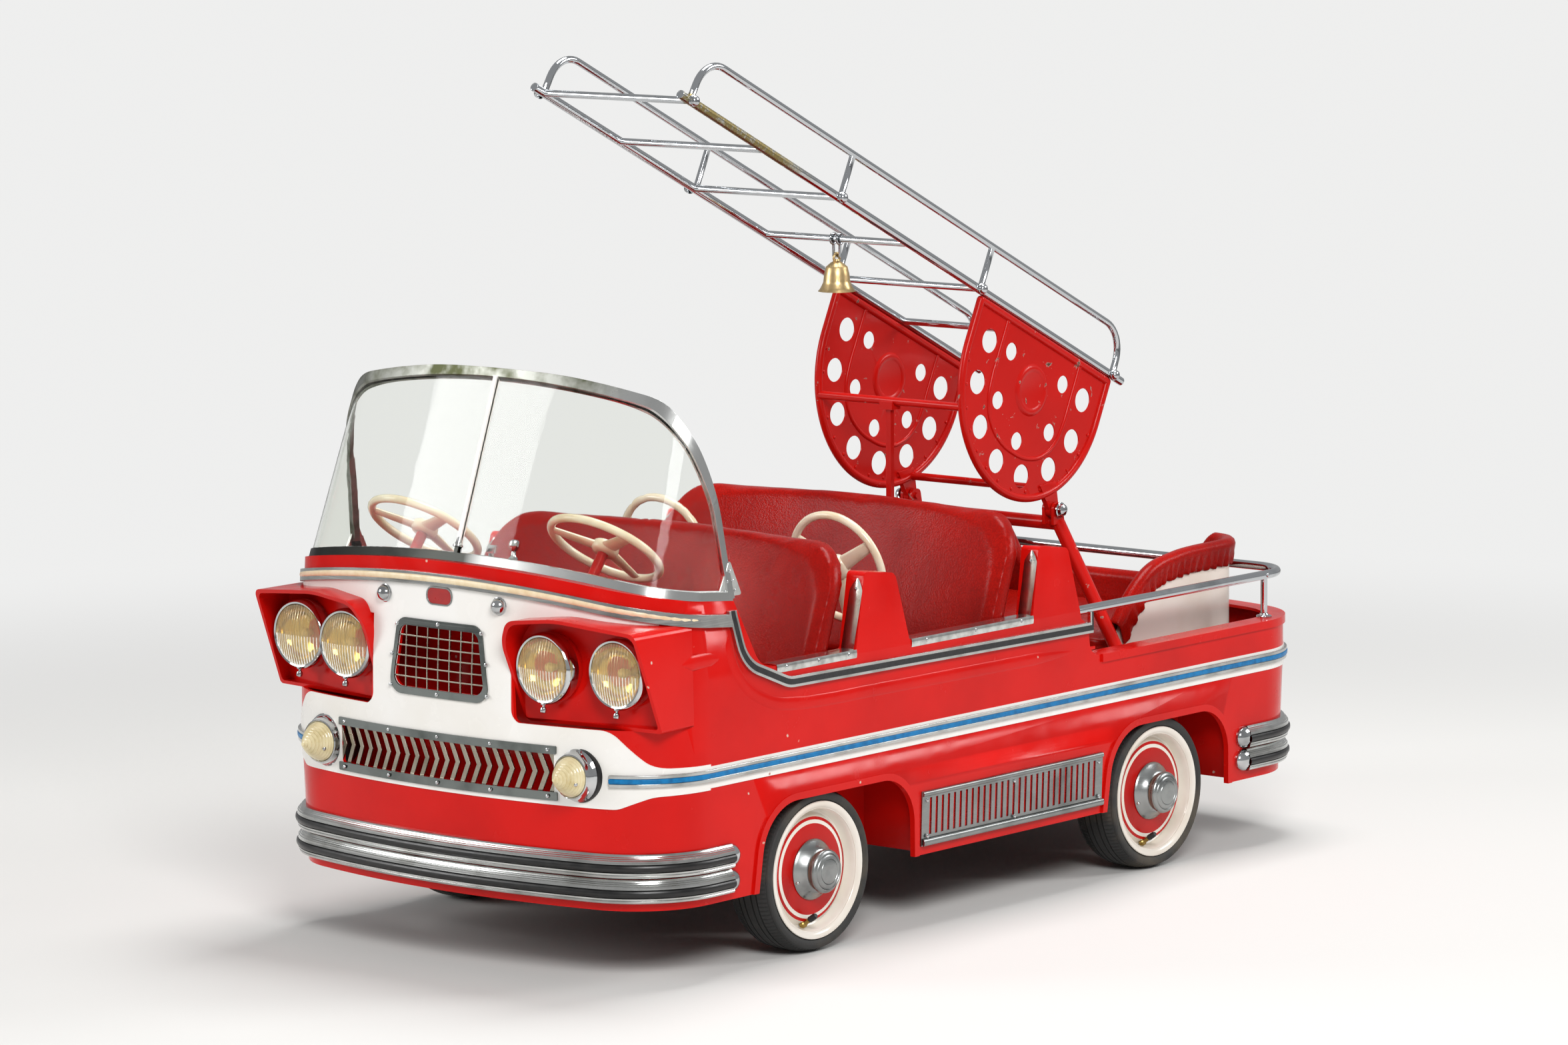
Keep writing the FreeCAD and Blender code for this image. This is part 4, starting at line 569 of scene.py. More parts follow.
for side in (-1, 1):
    for across, ahead in ((0.216, -0.920), (0.346, -0.893)):
        centre = Vector((side * across, ahead, LAMP_HEIGHT))
        label = "%s_%d" % ("inner" if across < 0.3 else "outer", side)
        housing = lathe(bmesh.new(), [
            (0.0440, -0.050), (0.0540, -0.034), (0.0556, -0.0235), (0.0574, -0.0225),
            (0.0580, -0.0150), (0.0577, -0.0060), (0.0562, -0.0004), (0.0536, 0.0022),
            (0.0508, 0.0012), (0.0492, -0.0018), (0.0486, -0.0060), (0.0440, -0.0170),
            (0.0330, -0.0260), (0.0180, -0.0310), (0.0, -0.0320)], centre, (0, -1, 0), 56,
            [1, 1, 1, 0, 0, 0, 0, 0, 0, 2, 2, 2, 2, 2])
        lathe(housing, [(0.0, -0.010), (0.004, -0.0105), (0.0075, -0.014), (0.0085, -0.019),
                        (0.006, -0.026), (0.0055, -0.033)], centre, (0, -1, 0), 20, [3] * 5)
        screw(housing, centre + Vector((0, -0.0005, -0.0560)), (0, -0.6, -0.8), 0.0030, 0)
        lathe(housing, [(0.0, 0.0), (0.0022, 0.0), (0.0022, 0.0050), (0.0050, 0.0070),
                        (0.0056, 0.0105), (0.0046, 0.0140), (0.0, 0.0155)],
              centre + Vector((0, 0.004, -0.0560)), (0, -0.25, -1), 16, [0] * 6)
        placed("headlamp_" + label, housing,
                       [chrome, red_gelcoat, reflector_finish, cream_vinyl], "vehicle",
                       ("lamp_bowls",), 40)
        glass = bmesh.new()
        bmesh.ops.create_grid(glass, x_segments=144, y_segments=20, size=1)
        for vert in glass.verts:
            x = vert.co.x * GLASS_RADIUS * 0.9999
            z = vert.co.y * math.sqrt(GLASS_RADIUS ** 2 - x ** 2)
            spread = math.hypot(x, z) / GLASS_RADIUS
            dome = DOME * (1 - spread ** 2)
            fade = min(1.0, (1 - spread) * 6)
            flute = FLUTE_DEPTH * fade * abs(math.sin(math.pi * x / FLUTE_PITCH))
            vert.co = centre + Vector((x, -0.0012 - dome + flute, z))
        bmesh.ops.solidify(glass, geom=glass.faces[:], thickness=0.0022)
        placed("headlamp_glass_" + label, glass, [lamp_glass], "vehicle",
                       ("lamp_lenses",), 60)

# Turn lamps: a black rubber ring, a chromed cup spun from sheet and a ribbed cone lens in
# cream plastic, held by one small screw at its side.
lens_plastic = plain("cream ribbed lens plastic", "E6D9B0", "C9B682", 0.14, 50,
                     {"Coat Weight": 0.3, "Subsurface Weight": 0.06, "Subsurface Scale": 0.004,
                      "Subsurface Radius": (1.0, 0.8, 0.5)})
LENS_RADIUS = 0.0306
RIB_PITCH = 0.0044
for side in (-1, 1):
    centre = Vector((side * 0.274, -0.920, 0.337))
    lamp = lathe(bmesh.new(), [
        (0.0300, -0.050), (0.0440, -0.050), (0.0446, -0.0190), (0.0436, -0.0166),
        (0.0416, -0.0160), (0.0414, -0.0150), (0.0425, -0.0140), (0.0400, -0.0110),
        (0.0375, -0.0075), (0.0362, -0.0020), (0.0358, 0.0015), (0.0340, 0.0026),
        (0.0322, 0.0012), (0.0318, -0.0020)], centre, (0, -1, 0), 48,
        [1, 1, 1, 1, 0, 0, 0, 0, 0, 0, 0, 0, 0])
    ribs = [(0.0318, -0.0020)]
    for rib in range(9):
        low = rib * RIB_PITCH
        ease = 1 - (rib / 9.4) ** 1.45
        next_ease = 1 - ((rib + 1) / 9.4) ** 1.45
        ribs.append((LENS_RADIUS * ease + 0.0002, low + 0.0004))
        ribs.append((LENS_RADIUS * (ease * 0.7 + next_ease * 0.3) + 0.0018, low + 0.0014))
        ribs.append((LENS_RADIUS * (ease * 0.3 + next_ease * 0.7) + 0.0018, low + 0.0030))
        ribs.append((LENS_RADIUS * next_ease + 0.0002, low + 0.0041))
    ribs += [(0.0030, 0.0412), (0.0, 0.0418)]
    lathe(lamp, ribs, centre, (0, -1, 0), 48, [2] * (len(ribs) - 1))
    screw(lamp, centre + Vector((0.0225, -0.014, -0.0080)), (0.75, -0.65, 0), 0.0036, 0)
    placed("turn_lamp_%d" % side, lamp, [chrome, black_rubber, lens_plastic],
                   "vehicle", ("lamp_bowls", "lamp_lenses"), 50)

# Front panel fittings: two chromed domes, and between them a plain plate of dulled aluminium
# with round ends and a thin rolled edge, its face enamelled red.
DOME_ACROSS = 0.124
DOME_HEIGHT = 0.595
PLATE_HEIGHT = 0.601
fittings = bmesh.new()
for side in (-1, 1):
    lathe(fittings, [(0.0150, -0.003), (0.0150, 0.0006), (0.0138, 0.0012), (0.0132, 0.0040),
                     (0.0115, 0.0078), (0.0080, 0.0112), (0.0040, 0.0128), (0.0, 0.0132)],
          front_surface(side * DOME_ACROSS, DOME_HEIGHT, 0.0015),
          front_normal(side * DOME_ACROSS), 28)
placed("front_domes", fittings, [chrome], "vehicle", (), 40)
plate = bmesh.new()
bmesh.ops.create_cube(plate, size=1)
bmesh.ops.scale(plate, verts=plate.verts, vec=(0.056, 0.0024, 0.030))
uprights = [edge for edge in plate.edges if abs(edge.verts[0].co.y - edge.verts[1].co.y) > 0.001]
bmesh.ops.bevel(plate, geom=uprights, offset=0.0135, segments=6, profile=0.5, material=-1,
                affect="EDGES")
front_face = [face for face in plate.faces if face.normal.y < -0.9]
bmesh.ops.inset_region(plate, faces=front_face, thickness=0.0022, depth=0.0)
front_face = [face for face in plate.faces if face.normal.y < -0.9 and len(face.verts) > 8]
bmesh.ops.inset_region(plate, faces=front_face, thickness=0.0004, depth=-0.0007)
for vert in plate.verts:
    vert.co.y += front_surface(0, PLATE_HEIGHT).y - 0.0019 + vert.co.x ** 2 / (2 * BOW)
    vert.co.z += PLATE_HEIGHT
plate_enamel = plain("blank red enamelled plate", "A51D1C", "93191A", 0.30, 70)
for face in plate.faces:
    face.material_index = 1 if face.normal.y < -0.9 and len(face.verts) > 8 else 0
placed("blank_plate", plate, [dull_aluminium, plate_enamel], "vehicle")

# Louvre panels: grey aluminium sheets below the doors, slotted upright, with a rolled bead
# along their top and bottom, on six screws each.
for side, name in ((1, "louvre_panel_left"), (-1, "louvre_panel_right")):
    dressed(name, dull_aluminium, 0.0006)
    low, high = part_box(name)
    face_x = high[0] if side > 0 else low[0]
    trim = bmesh.new()
    for height, tall in ((high[2] - 0.0045, 0.0045), (low[2] + 0.0060, 0.0060)):
        roll = [(tall * math.cos(turn * math.pi / 8), 0.0035 * math.sin(turn * math.pi / 8))
                for turn in range(9)]
        verts = [trim.verts.new((face_x + side * (out - 0.0003), low[1] + 0.001, height + rise))
                 for rise, out in roll]
        edges = [trim.edges.new(pair) for pair in zip(verts, verts[1:])]
        edges.append(trim.edges.new((verts[-1], verts[0])))
        made = bmesh.ops.extrude_edge_only(trim, edges=edges)
        bmesh.ops.translate(trim, verts=verts_of(made), vec=(0, high[1] - low[1] - 0.002, 0))
    closed(trim)
    for place in (0.012, 0.247, 0.482):
        for height in (high[2] - 0.0155, low[2] + 0.0165):
            screw(trim, Vector((face_x, low[1] + place, height)), (side, 0, 0), 0.0036, 1)
    placed(name + "_trim", trim, [dull_aluminium, chrome], "vehicle")


# Floor and chassis: two steel rails with cross members, enamelled black, under a painted
# board floor. The fixed axles are enamelled black as well.
black_steel = plain("black enamelled steel", "1B1B1C", "2A2320", 0.42, 25)
dressed("chassis", black_steel, 0.001)
dressed("axles", black_steel)
floor_board = plain("painted floor board", "4A1512", "33100E", 0.55, 18)
for name in ("floor_pan", "rear_deck"):
    dressed(name, floor_board)

# Wheels: pressed steel rims stoved white, their discs painted with a red stripe and a red
# centre, in small old tyres with notched shoulders. A pressed cap is screwed over each hub.
def aged_rubber():
    """Old black tyre rubber: greyed, dusty brown in patches and finely cracked."""
    material, shader, place = material_of("aged black tyre rubber", {"Roughness": 0.62})
    dust = add(material, "ShaderNodeTexNoise", {"Scale": 13, "Detail": 8}, {"Vector": place})
    tone = add(material, "ShaderNodeMapRange", {"From Min": 0.5, "From Max": 0.72},
               {"Value": dust.outputs["Fac"]})
    colour = add(material, "ShaderNodeMix", {"data_type": "RGBA", 6: linear("262625"),
                                             7: linear("4A4338")}, {0: tone.outputs["Result"]})
    # Cracks about 6 mm apart, drawn a little wider than real so that they show.
    cracks = add(material, "ShaderNodeTexVoronoi", {"feature": "DISTANCE_TO_EDGE", "Scale": 160},
                 {"Vector": place})
    open_crack = add(material, "ShaderNodeMapRange", {"From Min": 0.0, "From Max": 0.06},
                     {"Value": cracks.outputs["Distance"]})
    relief = add(material, "ShaderNodeBump", {"Strength": 0.25, "Distance": 0.001},
                 {"Height": open_crack.outputs["Result"]})
    return wired(material, shader, {
        "Base Color": colour.outputs[2], "Normal": relief.outputs["Normal"]})


rubber = aged_rubber()
white_enamel = plain("white stoved enamel", "ECE6DC", "DDD2C2", 0.24, 9, {"Coat Weight": 0.3})
red_enamel = plain("red enamelled steel", "BE120D", "A50E0A", 0.26, 12,
                   {"Specular IOR Level": 0.24})
cap_metal = drawn("dulled plated steel", "9DA09F", "6C6E6F", 0.28, 60.0)
neck_metal = plain("rubbed brown plated neck", "8C7467", "6F5B50", 0.42, 40, {"Metallic": 0.7})
valve_brass = drawn("tarnished brass valve", "A98F52", "7A6538", 0.35, 60.0)
black_rubber_cap = plain("black rubber valve cap", "111111", "1E1E1E", 0.5, 60)
AXLE_HEIGHT = 0.1353
TREAD_STEPS = 216
TYRE_FACE = 0.409
NOTCH_DEPTH = 0.0024
SHOULDER = 0.1300
RIM_FACE = 0.408
CAP_FACE = 0.394
CAP_SCREW = 0.0458
CAP_SCREW_TURN = math.radians(200)
half_tread = [
    (0.1010, 0.0060), (0.1140, 0.0052), (0.1150, 0.0030), (0.1180, 0.0012), (0.1220, 0.0002),
    (0.1250, 0.0002), (0.1275, 0.0010), (0.1287, 0.0024), (0.1293, 0.0040), (0.1279, 0.0050),
    (0.1294, 0.0060), (0.1316, 0.0084), (0.1331, 0.0120), (0.1342, 0.0170), (0.1347, 0.0218),
    (0.1318, 0.0224), (0.1318, 0.0244), (0.1350, 0.0250), (0.1352, 0.0330), (0.1322, 0.0336),
    (0.1322, 0.0352), (0.1353, 0.0358), (0.1353, 0.0420)]
tread = half_tread + [(radius, 0.084 - depth) for radius, depth in reversed(half_tread[:-1])]
for end, axle_y in (("front", -0.470), ("rear", 0.452)):
    for label, side in (("left", 1), ("right", -1)):
        name = "%s_%s" % (end, label)
        body = "wheel_" + name
        inward = (-side, 0, 0)
        outward = (side, 0, 0)
        hub = Vector((0, axle_y, AXLE_HEIGHT))
        tyre = lathe(bmesh.new(), tread, hub + Vector((side * TYRE_FACE, 0, 0)), inward,
                     TREAD_STEPS)
        bmesh.ops.remove_doubles(tyre, verts=tyre.verts, dist=0.00002)
        # Shoulder notches: every other step of both outer ribs is drawn in.
        for vert in tyre.verts:
            arm = vert.co - hub
            depth = TYRE_FACE - arm.x * side
            if not (0.0070 < depth < 0.0215 or 0.0625 < depth < 0.0770):
                continue
            reach = math.hypot(arm.y, arm.z)
            turn = round(math.atan2(arm.z, arm.y) / (2 * math.pi / TREAD_STEPS))
            if reach > SHOULDER and turn % 2 == 0:
                share = 1 - NOTCH_DEPTH / reach
                vert.co = hub + Vector((arm.x, arm.y * share, arm.z * share))
        placed("tyre_tread_" + name, tyre, [rubber], body, ("tyre_" + name,), 28)

        face = hub + Vector((side * RIM_FACE, 0, 0))
        rim = lathe(bmesh.new(), [
            (0.1010, 0.0040), (0.1110, 0.0040), (0.1128, 0.0030), (0.1133, 0.0016),
            (0.1126, 0.0004), (0.1105, -0.0000), (0.1075, 0.0004), (0.1045, 0.0016),
            (0.1015, 0.0042), (0.0995, 0.0085), (0.0982, 0.0140), (0.0972, 0.0210),
            (0.0955, 0.0262), (0.0930, 0.0275), (0.0905, 0.0258), (0.0880, 0.0212),
            (0.0860, 0.0178), (0.0810, 0.0168), (0.0750, 0.0160), (0.0600, 0.0148),
            (0.0500, 0.0141), (0.0152, 0.0140), (0.0152, 0.0740), (0.0220, 0.0740),
            (0.0220, 0.0185), (0.0600, 0.0190), (0.0860, 0.0225), (0.0905, 0.0300),
            (0.0960, 0.0310), (0.0985, 0.0260), (0.0985, 0.0780), (0.1050, 0.0800),
            (0.1130, 0.0820), (0.1130, 0.0780), (0.1010, 0.0780), (0.1010, 0.0040)],
            face, inward, 72, [0] * 16 + [1] + [0] + [1] * 3 + [0] * 14)
        placed("rim_painted_" + name, rim, [white_enamel, red_enamel], body,
                       ("rim_" + name,), 40)

        cap = lathe(bmesh.new(), [
            (0.0, 0.0005), (0.0500, 0.0005), (0.0503, 0.0020), (0.0494, 0.0036),
            (0.0470, 0.0056), (0.0430, 0.0090), (0.0390, 0.0132), (0.0362, 0.0172),
            (0.0345, 0.0186), (0.0330, 0.0192), (0.0326, 0.0215), (0.0330, 0.0240),
            (0.0348, 0.0246), (0.0360, 0.0262), (0.0361, 0.0290), (0.0352, 0.0318),
            (0.0328, 0.0340), (0.0298, 0.0348), (0.0290, 0.0338), (0.0283, 0.0350),
            (0.0262, 0.0364), (0.0214, 0.0370), (0.0206, 0.0360), (0.0198, 0.0372),
            (0.0170, 0.0380), (0.0100, 0.0379), (0.0, 0.0376)],
            hub + Vector((side * CAP_FACE, 0, 0)), outward, 64,
            [0] * 9 + [1, 1] + [0] * 15)
        arm = Vector((side * 0.398, CAP_SCREW * math.cos(CAP_SCREW_TURN),
                      CAP_SCREW * math.sin(CAP_SCREW_TURN)))
        lathe(cap, [(0.0030, -0.003), (0.0034, 0.0), (0.0032, 0.0022), (0.0020, 0.0042),
                    (0.0, 0.0050)], hub + arm, outward, 14, [2] * 4)
        placed("hub_cap_pressed_" + name, cap, [cap_metal, neck_metal, chrome], body,
                       ("hub_cap_" + name,), 40)

        stem = lathe(bmesh.new(), [
            (0.0060, -0.006), (0.0062, 0.001), (0.0042, 0.0030), (0.0038, 0.0140),
            (0.0050, 0.0142), (0.0052, 0.0150), (0.0050, 0.0270), (0.0036, 0.0300),
            (0.0, 0.0308)], hub + Vector((side * 0.3885, -0.014, -0.0885)),
            (side * 0.93, 0.0, 0.62), 16, [0, 0, 0, 1, 1, 1, 1, 1])
        placed("valve_" + name, stem, [valve_brass, black_rubber_cap], body)


# Dashboard and controls: a red moulded panel under the cowl with a chromed lever knob and a
# plain push knob, and steering columns of red enamelled tube.
dressed("dashboard", red_gelcoat)
dressed("steering_columns", red_enamel)
knobs = lathe(bmesh.new(), [
    (0.0080, -0.040), (0.0080, -0.020), (0.0062, -0.0175), (0.0045, -0.0150),
    (0.0040, -0.0080), (0.0060, -0.0060), (0.0085, -0.0020), (0.0092, 0.0030),
    (0.0080, 0.0080), (0.0045, 0.0108), (0.0, 0.0115)], (0.014, -0.760, 0.664), (0, 0.15, 1), 24)
lathe(knobs, [(0.0050, -0.035), (0.0050, -0.0060), (0.0082, -0.0055), (0.0085, -0.0030),
              (0.0085, 0.0060), (0.0075, 0.0074), (0.0, 0.0076)],
      (-0.035, -0.760, 0.655), (0, 0.15, 1), 24)
placed("dashboard_knobs", knobs, [chrome], "vehicle")

# Steering wheels: cream moulded plastic over a steel core, a round rim on three tapered
# spokes with a domed hub, yellowed by handling.
cream_plastic = plain("yellowed cream moulded plastic", "F0E4CB", "DCC49C", 0.20, 16,
                      {"Coat Weight": 0.3, "Subsurface Weight": 0.05,
                       "Subsurface Radius": (1.0, 0.7, 0.4), "Subsurface Scale": 0.004})
RING_RADIUS = 0.094
GRIP_RADIUS = 0.0070
for row, across, middle, tilt in (("front", 0.197, (-0.745, 0.675), 37),
                                  ("second", 0.190, (-0.151, 0.577), 74)):
    axis = Vector((0, math.sin(math.radians(tilt)), math.cos(math.radians(tilt))))
    for label, side in (("left", 1), ("right", -1)):
        name = "%s_%s" % (row, label)
        centre = Vector((side * across, middle[0], middle[1]))
        turned_rim = [(RING_RADIUS + GRIP_RADIUS * math.cos(turn * math.pi / 6),
                       GRIP_RADIUS * math.sin(turn * math.pi / 6)) for turn in range(13)]
        wheel = lathe(bmesh.new(), turned_rim, centre, axis, 72)
        lathe(wheel, [(0.0066, -0.0098), (0.0180, -0.0098), (0.0215, -0.0060),
                      (0.0225, 0.0000), (0.0215, 0.0060), (0.0180, 0.0088), (0.0120, 0.0100),
                      (0.0, 0.0100)], centre, axis, 36)
        for turn in (90, 210, 330):
            # Each spoke is a flattened cone, laid from the hub to the ring and then tilted.
            bmesh.ops.create_cone(
                wheel, cap_ends=True, segments=16, radius1=0.0140, radius2=0.0095, depth=0.080,
                matrix=(Matrix.Translation(centre) @ Matrix.Rotation(math.radians(-tilt), 4, "X")
                        @ Matrix.Rotation(math.radians(turn), 4, "Z")
                        @ Matrix.Rotation(math.pi / 2, 4, "Y")
                        @ Matrix.Translation((0, 0, 0.052)) @ Matrix.Diagonal((0.42, 1, 1, 1))))
        placed("steering_rim_" + name, wheel, [cream_plastic], "steering_" + name,
                       ("steering_wheel_" + name,), 50)


# Bench seats: padded boards and cushions in red leathercloth, embossed with a fine grain and
# polished by riders, on red painted boards and plinths.
def leather_finish():
    """Leathercloth: a pressed pebble grain 3 mm across, glossy on the crowns, painted shade in
    hollows.
    """
    material, shader, place = material_of("red embossed leathercloth", {
        "Roughness": 0.28, "IOR": 1.45, "Specular IOR Level": 0.12})
    patches = add(material, "ShaderNodeTexNoise", {"Scale": 6, "Detail": 5}, {"Vector": place})
    tone = add(material, "ShaderNodeMapRange", {"From Min": 0.35, "From Max": 0.7},
               {"Value": patches.outputs["Fac"]})
    colour = add(material, "ShaderNodeMix", {"data_type": "RGBA", 6: linear("B0160E"),
                                             7: linear("8C0F0A")}, {0: tone.outputs["Result"]})
    grain = add(material, "ShaderNodeTexVoronoi", {"Scale": 330, "feature": "SMOOTH_F1",
                                                   "Smoothness": 0.5}, {"Vector": place})
    # Painted shade: the hollows between the grain's pebbles are darkened towards a deep red.
    deep = add(material, "ShaderNodeMapRange", {"From Min": 0.2, "From Max": 0.7, "To Max": 0.35},
               {"Value": grain.outputs["Distance"]})
    shaded = add(material, "ShaderNodeMix", {"data_type": "RGBA", 7: linear("5E0B09")},
                 {0: deep.outputs["Result"], 6: colour.outputs[2]})
    creases = add(material, "ShaderNodeTexNoise", {"Scale": 42, "Detail": 6, "Distortion": 0.6},
                  {"Vector": place})
    both = add(material, "ShaderNodeMath", {"operation": "MULTIPLY_ADD", 1: -0.45},
               {0: grain.outputs["Distance"], 2: creases.outputs["Fac"]})
    relief = add(material, "ShaderNodeBump", {"Strength": 0.30, "Distance": 0.0015},
                 {"Height": both.outputs["Value"]})
    dull = add(material, "ShaderNodeMapRange", {"From Min": 0.3, "From Max": 0.7,
                                                "To Min": 0.20, "To Max": 0.34},
               {"Value": patches.outputs["Fac"]})
    return wired(material, shader, {
        "Base Color": shaded.outputs[2], "Normal": relief.outputs["Normal"],
        "Roughness": dull.outputs["Result"]})


leathercloth = leather_finish()


def smoothed(mesh, turns):
    """Evens out a mesh by moving each point halfway to its neighbours' middle, some times."""
    for turn in range(turns):
        bmesh.ops.smooth_vert(mesh, verts=mesh.verts, factor=0.5, use_axis_x=True,
                              use_axis_y=True, use_axis_z=True)


CLOTH_STEPS = 12
DRAWN_IN = 0.0025


def plumped(name, voxel, pressure, cap):
    """A padded piece from a CAD solid: drawn in, remeshed, swollen as cloth, smoothed."""
    mesh = node_copy(name)
    data = bpy.data.meshes.new("padded_" + name)
    mesh.to_mesh(data)
    mesh.free()
    piece = linked("padded_" + name, data)
    bpy.context.view_layer.objects.active = piece
    remesh = piece.modifiers.new("even", "REMESH")
    remesh.mode = "VOXEL"
    remesh.voxel_size = voxel
    bpy.ops.object.modifier_apply(modifier="even")
    mesh = bmesh.new()
    mesh.from_mesh(piece.data)
    smoothed(mesh, 4)
    mesh.normal_update()
    for vert in mesh.verts:
        vert.co -= vert.normal * DRAWN_IN
    mesh.to_mesh(piece.data)
    mesh.free()
    start = [vert.co.copy() for vert in piece.data.vertices]
    cloth = piece.modifiers.new("swell", "CLOTH")
    cloth.settings.quality = 4
    cloth.settings.use_pressure = True
    cloth.settings.uniform_pressure_force = pressure
    cloth.settings.effector_weights.gravity = 0
    cloth.point_cache.frame_start = 1
    cloth.point_cache.frame_end = CLOTH_STEPS
    for step in range(1, CLOTH_STEPS + 1):
        bpy.context.scene.frame_set(step)
    bpy.ops.object.modifier_apply(modifier="swell")
    for vert, before in zip(piece.data.vertices, start):
        move = vert.co - before
        if move.length > cap:
            vert.co = before + move * (cap / move.length)
    bpy.context.scene.frame_set(1)
    mesh = bmesh.new()
    mesh.from_mesh(piece.data)
    smoothed(mesh, 2)
    for face in mesh.faces:
        face.smooth = True
    mesh.to_mesh(piece.data)
    mesh.free()
    piece.data.materials.clear()
    piece.data.materials.append(leathercloth)
    even = piece.modifiers.new("even", "SUBSURF")
    even.levels = 1
    even.render_levels = 1
    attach(piece, frame["nodes"][name]["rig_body"])
    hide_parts(name)


plumped("seat_backs", voxel=0.0075, pressure=2.5, cap=0.005)
plumped("seat_cushions", voxel=0.0080, pressure=3.0, cap=0.006)
plumped("rear_seat_cushion", voxel=0.0080, pressure=3.0, cap=0.006)
for name in ("seat_boards", "seat_bases"):
    dressed(name, red_gelcoat, 0.001)


# Sill and post strips: bright aluminium angles screwed along the sills and up the leading
# edge of each post, where they end in a point.
sheet_aluminium = plain("rubbed sheet aluminium", "DADBD8", "A6A7A3", 0.20, 60, {"Metallic": 1.0})


def strip(mesh, start, end, width, thick, out, pointed=False):
    """A crowned strip of sheet from start to end, its face towards out."""
    start, end, out = Vector(start), Vector(end), Vector(out).normalized()
    run = end - start
    over = run.cross(out).normalized()
    sheet = bmesh.new()
    bmesh.ops.create_grid(sheet, x_segments=6, y_segments=12, size=0.5)
    for vert in sheet.verts:
        taper = 1.0
        if pointed and vert.co.y > 0.36:
            taper = 1.0 - 0.85 * (vert.co.y - 0.36) / 0.14
        crown = 0.0010 * (1 - (vert.co.x * 2) ** 2)
        vert.co = (start + run * (vert.co.y + 0.5) + over * (vert.co.x * width * taper)
                   + out * (thick + crown))
    bmesh.ops.solidify(sheet, geom=sheet.faces[:], thickness=thick)
    poured(sheet, mesh)


SILL_TOP = 0.4862
SHEET = 0.0012
strips = bmesh.new()
for side in (-1, 1):
    for sill_front, post_y, lean, height in ((-0.585, -0.383, 0.030, 0.600),
                                             (-0.240, 0.087, 0.024, 0.594)):
        outside = side * side_surface(0.482)
        strip(strips, (side * 0.403, sill_front, SILL_TOP), (side * 0.403, post_y, SILL_TOP),
              0.030, SHEET, (0, 0, 1))
        strip(strips, (outside - side * 0.0006, sill_front, 0.4815),
              (outside - side * 0.0006, post_y, 0.4815), 0.0125, SHEET, (side, 0, 0))
        strip(strips, (side * 0.4005, post_y - 0.0006, 0.4880),
              (side * 0.4005, post_y + lean - 0.0030, height), 0.026, SHEET,
              (0, -1, 0.24), True)
        screw(strips, (side * 0.4005, post_y + lean - 0.0085, height - 0.017), (0, -1, 0.24),
              0.0034, 1)
        for share in (0.12, 0.52, 0.9):
            screw(strips, (outside + side * 0.0010,
                           sill_front + (post_y - sill_front) * share, 0.4820),
                  (side, 0, 0), 0.0030, 1)
placed("sill_and_post_strips", strips, [sheet_aluminium, chrome], "vehicle")


# Rear seat: a white moulded bucket, open to the front, its rim under a roll of red
# leathercloth that is gathered into a ruffled hem outside and lines the bucket inside.
dressed("rear_seat_shell", white_enamel)
DIP_START = 0.735
DIP_DEPTH = 0.085


def rim_height(along, across):
    """The height of the bucket's rim, which climbs from its front and dips at its back."""
    steps = [(0.395, 0.345), (0.425, 0.358), (0.457, 0.385), (0.500, 0.438), (0.560, 0.487),
             (0.640, 0.506), (0.760, 0.511), (0.860, 0.512)]
    slopes = [(after[1] - before[1]) / (after[0] - before[0])
              for before, after in zip(steps, steps[1:])]
    bends = [slopes[0]] + [(one + two) / 2 for one, two in zip(slopes, slopes[1:])] + [0.0]
    along_held = min(max(along, steps[0][0]), steps[-1][0])
    height = steps[-1][1]
    for place, ((low, low_z), (high, high_z)) in enumerate(zip(steps, steps[1:])):
        if along_held <= high:
            width = high - low
            share = (along_held - low) / width
            left = 1 - share
            height = (low_z * (1 + 2 * share) * left * left
                      + high_z * share * share * (3 - 2 * share)
                      + width * bends[place] * share * left * left
                      - width * bends[place + 1] * share * share * left)
            break
    if along > DIP_START:
        edge = min(1.0, max(0.0, (0.250 - abs(across)) / 0.080))
        height -= DIP_DEPTH * edge * edge * (3 - 2 * edge) * min(1.0, (along - DIP_START) / 0.040)
    return height


section = [(0.0025, -0.0270), (0.0045, -0.0245), (0.0060, -0.0190), (0.0075, -0.0120),
           (0.0080, -0.0050), (0.0095, 0.0020), (0.0105, 0.0090), (0.0085, 0.0155),
           (0.0035, 0.0195), (-0.0040, 0.0210), (-0.0110, 0.0190), (-0.0160, 0.0140),
           (-0.0180, 0.0070), (-0.0175, -0.0010), (-0.0165, -0.0120), (-0.0160, -0.0260),
           (-0.0160, -0.0400), (-0.0155, -0.0700), (-0.0150, -0.1050)]
SEAT_HALF = 0.310
SEAT_CORNER = 0.068
SEAT_FRONT = 0.470
SEAT_REAR = 0.845
SIDE_STEPS = 88
TURN_STEPS = 28
BACK_STEPS = 130
HEM_DEPTH = 0.0024
side_run = SEAT_REAR - SEAT_CORNER - SEAT_FRONT
back_run = 2 * (SEAT_HALF - SEAT_CORNER)
roll = swept([(SEAT_HALF + out, SEAT_FRONT, rise) for out, rise in section], [
    ((0, 0, 0), 0, (0, side_run, 0), SIDE_STEPS),
    ((SEAT_HALF - SEAT_CORNER, SEAT_REAR - SEAT_CORNER, 0), math.pi / 2, (0, 0, 0), TURN_STEPS),
    ((0, 0, 0), 0, (-back_run, 0, 0), BACK_STEPS),
    ((SEAT_CORNER - SEAT_HALF, SEAT_REAR - SEAT_CORNER, 0), math.pi / 2, (0, 0, 0), TURN_STEPS),
    ((0, 0, 0), 0, (0, -side_run, 0), SIDE_STEPS)])
bmesh.ops.remove_doubles(roll, verts=roll.verts, dist=0.00002)
